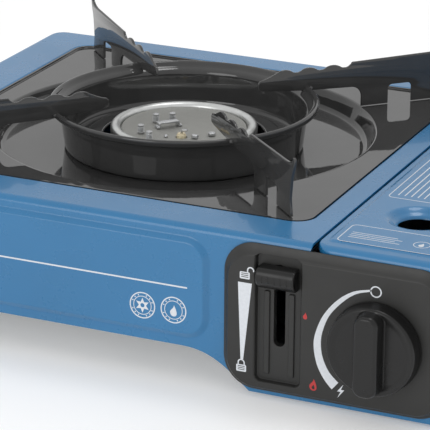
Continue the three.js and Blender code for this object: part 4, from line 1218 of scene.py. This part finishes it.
class BuildLever(bpy.types.Operator):
    """Builds the cartridge lock's finger lever with its stem and slotted tail"""

    bl_idname = "stove.build_lever"
    bl_label = "Lock lever"

    def execute(self, context):
        centre = 85.0
        half = 10.0
        low, high = 58.2, 69.6
        floor = PANEL_FACE + CHANNEL_DEPTH - GAP
        front = LEVER_LOW.y
        profile = [(floor, high), (floor, low)] + bezier(
            (PANEL_FACE + 0.4, low), (PANEL_FACE - 1.6, low + 0.2), (front + 1.0, low + 2.2), (front, low + 5.0), 8)
        profile += bezier((front, low + 6.6), (front + 0.1, low + 8.6), (front + 1.0, high - 1.2),
                          (front + 2.6, high - 0.4), 6) + [(PANEL_FACE + 0.6, high)]
        loops = []
        for x, shrink in ((-half, 1.1), (-half + 0.3, 0.45), (-half + 1.0, 0.0), (half - 1.0, 0.0),
                          (half - 0.3, 0.45), (half, 1.1)):
            middle_y, middle_z = (floor + front) / 2, (low + high) / 2
            loop = []
            for y, z in profile:
                pull = Vector((middle_y - y, middle_z - z)).normalized() * shrink
                loop.append((centre + x, min(y + pull.x, floor), z + pull.y))
            loops.append(loop)
        grooves = [block((centre + x - 1.9, floor - 0.9, low - 1), (centre + x + 1.9, floor + 1, high + 1))
                   for x in (-6.4, 6.4)]
        grip = cut(welded(loft(loops, True, True)), *grooves)
        ribs = [self.rib(centre + x, front, low) for x in (-6.4, -3.2, 0, 3.2, 6.4)]
        pin_z = 60.96
        stem = self.bar((centre - 2.4, floor - 1, 61.8), (centre + 2.4, CASE_FRONT + 4.5, 69))
        cross = self.bar((centre - 8, CASE_FRONT + 4, 59), (104.2, CASE_FRONT + 5.2, 67))
        tail = self.bar((103, CASE_FRONT + 3, pin_z - 6), (104.2, LEVER_HIGH.y, pin_z + 6))
        slot = block((101.4, -123, pin_z - 2.3), (105, -114.5, pin_z + 2.3))
        mesh = joined(grip, *ribs, stem, cut(cross, slot), cut(tail, slot))
        add_piece(
            "lever_moulded", mesh, finish_of("knob_plastic"), "lever", ["lock_lever"], even=True)
        return {"FINISHED"}

    def rib(self, x, front, low):
        """A thin grip rib on the lever's face."""
        points = [(x, front + 0.25, low + 4.2), (x, front - 0.0 + 0.12, low + 5.8), (x, front + 0.3, low + 7.6)]
        return swept(points, 0.35, 3)

    def bar(self, low, high):
        """A bar with softened edges."""
        mesh = block(low, high)
        return with_modifiers(mesh, ("BEVEL", {"width": 0.2 * MM, "segments": 2}))


# ---------------------------------------------------------------- printed marks


def smooth(points, steps):
    """A curve through points, each span split into steps."""
    ends = [points[0], *points, points[-1]]
    curve = []
    for before, start, end, after in zip(ends, ends[1:], ends[2:], ends[3:]):
        first = [s + (e - b) / 6 for b, s, e in zip(before, start, end)]
        second = [e - (a - s) / 6 for s, e, a in zip(start, end, after)]
        curve += bezier(start, first, second, end, steps)[:-1]
    return curve + [points[-1]]


def ring_outline(centre, radius, width, steps=48):
    return [arc(centre, radius, 0, 360, steps)[:-1], arc(centre, radius - width, 0, 360, steps)[:-1]]


def flame_outline(centre, size):
    """A drop with a bent tip."""
    x, z = centre
    right = bezier((x, z - size), (x + size * 1.05, z - size), (x + size * 0.75, z + size * 0.2),
                   (x + size * 0.1, z + size * 1.35), 10)
    left = bezier((x + size * 0.1, z + size * 1.35), (x + size * 0.05, z + size * 0.5),
                  (x - size * 0.85, z + size * 0.35), (x - size * 0.72, z - size * 0.3), 8)
    low = bezier((x - size * 0.72, z - size * 0.3), (x - size * 0.62, z - size * 0.8),
                 (x - size * 0.3, z - size), (x, z - size), 5)
    return right + left[1:] + low[1:-1]


class PrintMarks(bpy.types.Operator):
    """Prints the plain line, badges, scale and symbols on the front, and the lid's frames"""

    bl_idname = "stove.print_marks"
    bl_label = "Printed marks"

    def execute(self, context):
        self.height = sizes().print_height / MM
        self.front_field()
        self.panel()
        self.lid()
        return {"FINISHED"}

    def on_front(self, name, outlines, y, ink="white_ink"):
        meshes = [upright(plate(group, self.height), y - self.height / 2) for group in outlines]
        add_piece(name, joined(*meshes), finish_of(ink), "case")

    def front_field(self):
        y = CASE_FRONT - sizes().field_height / MM
        line = rounded_box(-138, 50.1, 37, 50.9, 0.35, 3)
        first, second = (13.0, 37.5), (29.7, 37.8)
        badges = [ring_outline(c, 6.9, 0.6) for c in (first, second)]
        badges += [ring_outline(c, 4.9, 0.35) for c in (first, second)]
        star = [(first[0] + r * math.sin(math.pi * i / 6), first[1] + r * math.cos(math.pi * i / 6))
                for i, r in enumerate([3.9, 1.9] * 6)]
        badges += [[star, arc(first, 1.1, 0, 360, 20)[:-1]], [flame_outline((second[0], second[1] - 0.8), 2.5)]]
        ticks = []
        for centre in (first, second):
            for i in range(16):
                if i % 4:
                    turn = math.pi * i / 8
                    ticks.append([self.tick(centre, turn)])
        self.on_front("front_print", [[line], *badges, *ticks], y)

    def tick(self, centre, turn):
        """A short bar between a badge's rings."""
        direction = Vector((math.cos(turn), math.sin(turn)))
        across = Vector((-direction.y, direction.x)) * 0.28
        low = Vector(centre) + direction * 5.25
        high = Vector(centre) + direction * 5.95
        return [tuple(low + across), tuple(low - across), tuple(high - across), tuple(high + across)]

    def panel(self):
        y = PANEL_FACE
        wedge = [(64.5, 59.2), (66.2, 19.4), (67.6, 19.4), (71.7, 59.2)]
        groups = [[wedge], ring_outline((134.7, 65.6), 2.9, 0.65), self.scale(), *self.padlock((68.0, 63.1), True)]
        groups += self.padlock((66.6, 15.0), False)
        groups.append([self.spark((118.3, 12.1), 3.7)])
        self.on_front("panel_print", groups, y)
        flames = [[flame_outline((99.3, 47.2), 1.5)],
                  [flame_outline((104.1, 12.4), 2.6), flame_outline((104.2, 11.6), 1.1)]]
        self.on_front("panel_flames", flames, y, "red_ink")

    def scale(self):
        """A bar beside the knob that widens from off to full."""
        rim = [(132.5, 66.4), (123.3, 63.8), (115.0, 57.7), (108.2, 48.7), (104.5, 38.7), (104.1, 31.5),
               (106.0, 23.2), (109.7, 16.6), (113.7, 12.2)]
        inside = [(132.6, 65.4), (124.9, 62.9), (118.1, 57.6), (111.6, 49.6), (108.2, 40.4), (107.7, 33.4),
                  (109.0, 27.0), (112.2, 20.8), (117.0, 16.2)]
        return [smooth(rim, 6) + smooth(inside, 6)[::-1]]

    def padlock(self, centre, is_open):
        x, z = centre
        body = rounded_box(x - 2.6, z - 2.0, x + 2.6, z + 1.6, 0.5, 4)
        lines = [rounded_box(x - 1.9, z + dz, x + 1.9, z + dz + 0.4, 0.15, 2) for dz in (-1.2, -0.3, 0.6)]
        shift = 3.0 if is_open else 0.0
        outer = arc((x + shift, z + 2.6), 1.9, 0, 180, 14)
        inner = arc((x + shift, z + 2.6), 1.25, 180, 0, 14)
        right_end, left_end = (2.2, 1.5) if is_open else (1.5, 1.5)
        legs = [(x + shift - 1.9, z + left_end), (x + shift - 1.25, z + left_end)]
        others = [(x + shift + 1.25, z + right_end), (x + shift + 1.9, z + right_end)]
        return [[body, *lines], [outer + legs + inner + others]]

    def spark(self, centre, size):
        x, z = centre
        shape = [(0.35, 1.0), (-0.5, -0.1), (-0.02, -0.1), (-0.45, -1.0), (0.5, 0.2), (0.02, 0.2)]
        return [(x + u * size, z + v * size) for u, v in shape]

    def lid(self):
        top = CASE_TOP + sizes().lid_emboss / MM + self.height / 2
        frames = [(108.5, -118, 164.5, -94.2), (109.0, -50.5, 166.0, 62.0)]
        groups = []
        for x0, y0, x1, y1 in frames:
            outer = rounded_box(x0, y0, x1, y1, 3.0, 6)
            inner = rounded_box(x0 + 0.45, y0 + 0.45, x1 - 0.45, y1 - 0.45, 2.6, 6)
            groups.append([outer, inner])
        rows = [rounded_box(112, -111.2 + i * 2.2, 138 - 3 * (i % 2), -110.7 + i * 2.2, 0.2, 2) for i in range(4)]
        rows += [rounded_box(113 + i * 3.4, -46, 113.6 + i * 3.4, 52 - 9 * (i % 3), 0.2, 2) for i in range(9)]
        groups += [[row] for row in rows]
        groups.append(ring_outline((148, -107.2), 4.2, 0.4))
        groups.append([flame_outline((148, -107.9), 1.9)])
        meshes = [shifted(plate(group, self.height), z=top) for group in groups]
        add_piece("lid_print", joined(*meshes), finish_of("white_ink"), "lid")


# ---------------------------------------------------------------- inner pieces and small parts


FRAME_FINISHES = {
    "galvanised_sheet": ("base_plate", "partition_plate", "cartridge_cradle", "burner_stand_left",
                         "burner_stand_right", "regulator_bracket_left", "regulator_bracket_right",
                         "cartridge_hook"),
    "burner_aluminium": ("heat_plate",),
    "steel": ("electrode_pin", "mixing_tube", "lock_crank", "crank_pin", "crank_spring"),
    "brass": ("gas_jet", "valve_stem"),
    "die_cast_zinc": ("regulator_body",),
    "ceramic": ("electrode_sleeve",),
    "black_rubber": ("cartridge_seal",),
    "lead_insulation": ("ignition_lead",),
    "knob_plastic": ("piezo_body", "piezo_plunger"),
}


class FinishFrame(bpy.types.Operator):
    """Gives the frame's own inner pieces their finishes and smooth shading"""

    bl_idname = "stove.finish_frame"
    bl_label = "Inner pieces"

    def execute(self, context):
        for finish, nodes in FRAME_FINISHES.items():
            for node in nodes:
                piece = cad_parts[node]
                piece.data.materials.clear()
                piece.data.materials.append(finish_of(finish))
                shade(piece.data, 40)
        return {"FINISHED"}


class BuildSmallParts(bpy.types.Operator):
    """Builds the rubber feet, the screws and the hinge pins"""

    bl_idname = "stove.build_small_parts"
    bl_label = "Feet and screws"

    def execute(self, context):
        for corner in CORNERS:
            self.foot(corner)
            self.side_screw(corner)
        for side in ("left", "right"):
            self.panel_screw(side)
            self.regulator_screw(side)
            self.burner_screw(side)
        for end in ("front", "back"):
            self.hinge_pin(end)
        return {"FINISHED"}

    def foot(self, corner):
        node = f"foot_{corner}"
        low, high = box_mm(node)
        x, y = (low.x + high.x) / 2, (low.y + high.y) / 2
        profile = [(0, 0.3), (4.2, 0.3), (4.8, 0), (7.0, 0), (7.7, 0.3), (8, 0.9), (8, 1.7), (7.8, 2.1),
                   (7.3, 2.3), (2.6, 2.3), (2.5, 2.5), (2.5, 4.1), (2.7, 4.3), (4.1, 4.35), (4.0, 4.8),
                   (2.6, 6.4), (2.0, 6.9), (0, 7)]
        add_piece(
            f"{node}_moulded", turned(profile, (x, y), 48), finish_of("black_rubber"), "case",
            [node])

    def pan_head(self, shank, head, length, head_height):
        """A cross-recessed screw that points down from its head at the top."""
        neck = length - head_height
        profile = [(0, 0), (shank * 0.7, 0), (shank, 0.6)]
        pitch = 0.8
        turns = int((neck - 1.0) / pitch)
        for i in range(turns):
            z = 0.7 + i * pitch
            profile += [(shank, z), (shank * 0.84, z + pitch / 2)]
        profile += [(shank, neck), (head - 0.15, neck), (head, neck + 0.2), (head, neck + head_height * 0.4)]
        profile += [(head * 0.86, length - head_height * 0.22), (head * 0.55, length - 0.05), (0, length)]
        screw = turned(profile, steps=40)
        wing, half = head * 0.55, head * 0.11
        for u, v in ((wing, half), (half, wing)):
            screw = cut(screw, block((-u, -v, length - head_height * 0.7), (u, v, length + 1)))
        return screw

    def put(self, node, mesh, place, body="case", finish="steel", slot="steel"):
        add_piece(f"{node}_made", moved(mesh, place), finish_of(finish), body, [node], angle=40)

    def side_screw(self, corner):
        node = f"base_screw_{corner}"
        low, high = box_mm(node)
        side = math.copysign(1, low.x)
        start = low.x if side > 0 else high.x
        place = (
            Matrix.Translation((start, (low.y + high.y) / 2, (low.z + high.z) / 2))
            @ Matrix.Rotation(side * math.pi / 2, 4, "Y"))
        self.put(node, self.pan_head(1.5, 3.2, high.x - low.x, 1.5), place)

    def panel_screw(self, side):
        node = f"panel_screw_{side}"
        low, high = box_mm(node)
        place = (
            Matrix.Translation(((low.x + high.x) / 2, low.y, (low.z + high.z) / 2))
            @ Matrix.Rotation(-math.pi / 2, 4, "X"))
        self.put(node, self.pan_head(1.3, 2.8, high.y - low.y, 1.6), place)

    def regulator_screw(self, side):
        node = f"regulator_screw_{side}"
        low, high = box_mm(node)
        outward = -1 if side == "left" else 1
        start = high.x if outward < 0 else low.x
        place = (
            Matrix.Translation((start, (low.y + high.y) / 2, (low.z + high.z) / 2))
            @ Matrix.Rotation(outward * math.pi / 2, 4, "Y"))
        self.put(node, self.pan_head(1.5, 3.0, high.x - low.x, 2.0), place)

    def burner_screw(self, side):
        node = f"burner_screw_{side}"
        low, high = box_mm(node)
        place = (
            Matrix.Translation(((low.x + high.x) / 2, (low.y + high.y) / 2, high.z))
            @ Matrix.Rotation(math.pi, 4, "X"))
        self.put(node, self.pan_head(1.5, 3.0, high.z - low.z, 1.8), place)

    def hinge_pin(self, end):
        node = f"hinge_pin_{end}"
        low, high = box_mm(node)
        outward = -1 if end == "front" else 1
        start = high.y if outward < 0 else low.y
        length = high.y - low.y
        profile = [(0, 0), (1.2, 0), (1.5, 0.4), (1.5, length - 1.2), (2.4, length - 1.2), (2.6, length - 0.9),
                   (2.4, length - 0.3), (1.6, length), (0, length)]
        place = (
            Matrix.Translation(((low.x + high.x) / 2, start, (low.z + high.z) / 2))
            @ Matrix.Rotation(-outward * math.pi / 2, 4, "X"))
        self.put(node, turned(profile, steps=32), place)


# ---------------------------------------------------------------- stage


CAMERA = {
    "aim": (-3.2, -7.45, 41.5), "azimuth": 24.08, "elevation": 20.02, "roll": 0.389, "distance": 1404.3,
    "lens": 222.17,
}


class SetStage(bpy.types.Operator):
    """Sets the pale floor, the soft studio light and the camera"""

    bl_idname = "stove.set_stage"
    bl_label = "Stage"

    def execute(self, context):
        self.floor()
        self.world()
        self.soft_light("front", (-0.45, -1.75, 0.75), (0, 0, 0.04), 1.0, 5.5)
        self.soft_light("top", (0.15, 0.35, 1.55), (0, 0, 0.08), 0.5, 3.0)
        self.camera()
        return {"FINISHED"}

    def floor(self):
        side = 30000
        outline = rounded_box(-side, -side, side, side, 2000, 8)
        mesh = loft([at_height(outline, 0)], cap_end=True)
        mesh.materials.append(finish_of("pale_floor"))
        floor = bpy.data.objects.new("floor", mesh)
        bpy.context.scene.collection.objects.link(floor)

    def world(self):
        world = bpy.data.worlds.new("soft_room")
        world.use_nodes = True
        background = world.node_tree.nodes["Background"]
        background.inputs["Color"].default_value = (1.0, 1.0, 1.0, 1)
        background.inputs["Strength"].default_value = 0.78
        bpy.context.scene.world = world

    def soft_light(self, name, place, aim, size, power):
        lamp = bpy.data.lights.new(name, "AREA")
        lamp.shape = "DISK"
        lamp.size = size
        lamp.energy = power
        light = bpy.data.objects.new(name, lamp)
        light.location = place
        light.rotation_mode = "QUATERNION"
        light.rotation_quaternion = (Vector(aim) - Vector(place)).to_track_quat("-Z", "Y")
        bpy.context.scene.collection.objects.link(light)

    def camera(self):
        azimuth, elevation, roll = (math.radians(CAMERA[key]) for key in ("azimuth", "elevation", "roll"))
        back = Vector((
            math.sin(azimuth) * math.cos(elevation), -math.cos(azimuth) * math.cos(elevation),
            math.sin(elevation)))
        right = Vector((math.cos(azimuth), math.sin(azimuth), 0))
        up = back.cross(right)
        level, upward = math.cos(roll), math.sin(roll)
        turned_right = level * right + upward * up
        turned_up = level * up - upward * right
        data = bpy.data.cameras.new("camera")
        data.lens = CAMERA["lens"]
        data.sensor_width = 36
        data.clip_start, data.clip_end = 0.05, 50
        camera = bpy.data.objects.new("camera", data)
        turn = Matrix((turned_right, turned_up, back)).transposed()
        place = (Vector(CAMERA["aim"]) + back * CAMERA["distance"]) * MM
        camera.matrix_world = Matrix.Translation(place) @ turn.to_4x4()
        bpy.context.scene.collection.objects.link(camera)
        bpy.context.scene.camera = camera
        bpy.context.scene.view_settings.view_transform = "Standard"


# ---------------------------------------------------------------- add-on


PIECES = (
    BuildCase, BuildLid, BuildTray, BuildPanSupport, BuildBurner, BuildPanel, BuildKnob, BuildLever,
    PrintMarks, FinishFrame, BuildSmallParts, SetStage,
)


class StovePanel(bpy.types.Panel):
    """Lists the stove's pieces in the sidebar"""

    bl_idname = "STOVE_PT_pieces"
    bl_label = "Camping stove"
    bl_space_type = "VIEW_3D"
    bl_region_type = "UI"
    bl_category = "Stove"

    def draw(self, context):
        for operator in PIECES:
            self.layout.operator(operator.bl_idname)
        for group in (context.scene.stove_sizes, context.scene.stove_colours):
            for key in group.bl_rna.properties.keys():
                if key not in ("name", "rna_type"):
                    self.layout.prop(group, key)


CLASSES = (StoveSizes, StoveColours, *PIECES, StovePanel)


def register():
    for each in CLASSES:
        bpy.utils.register_class(each)
    bpy.types.Scene.stove_sizes = bpy.props.PointerProperty(type=StoveSizes)
    bpy.types.Scene.stove_colours = bpy.props.PointerProperty(type=StoveColours)


def unregister():
    del bpy.types.Scene.stove_colours
    del bpy.types.Scene.stove_sizes
    for each in reversed(CLASSES):
        bpy.utils.unregister_class(each)


def main():
    register()
    for operator in PIECES:
        group, name = operator.bl_idname.split(".")
        getattr(getattr(bpy.ops, group), name)()


if __name__ == "__main__":
    main()
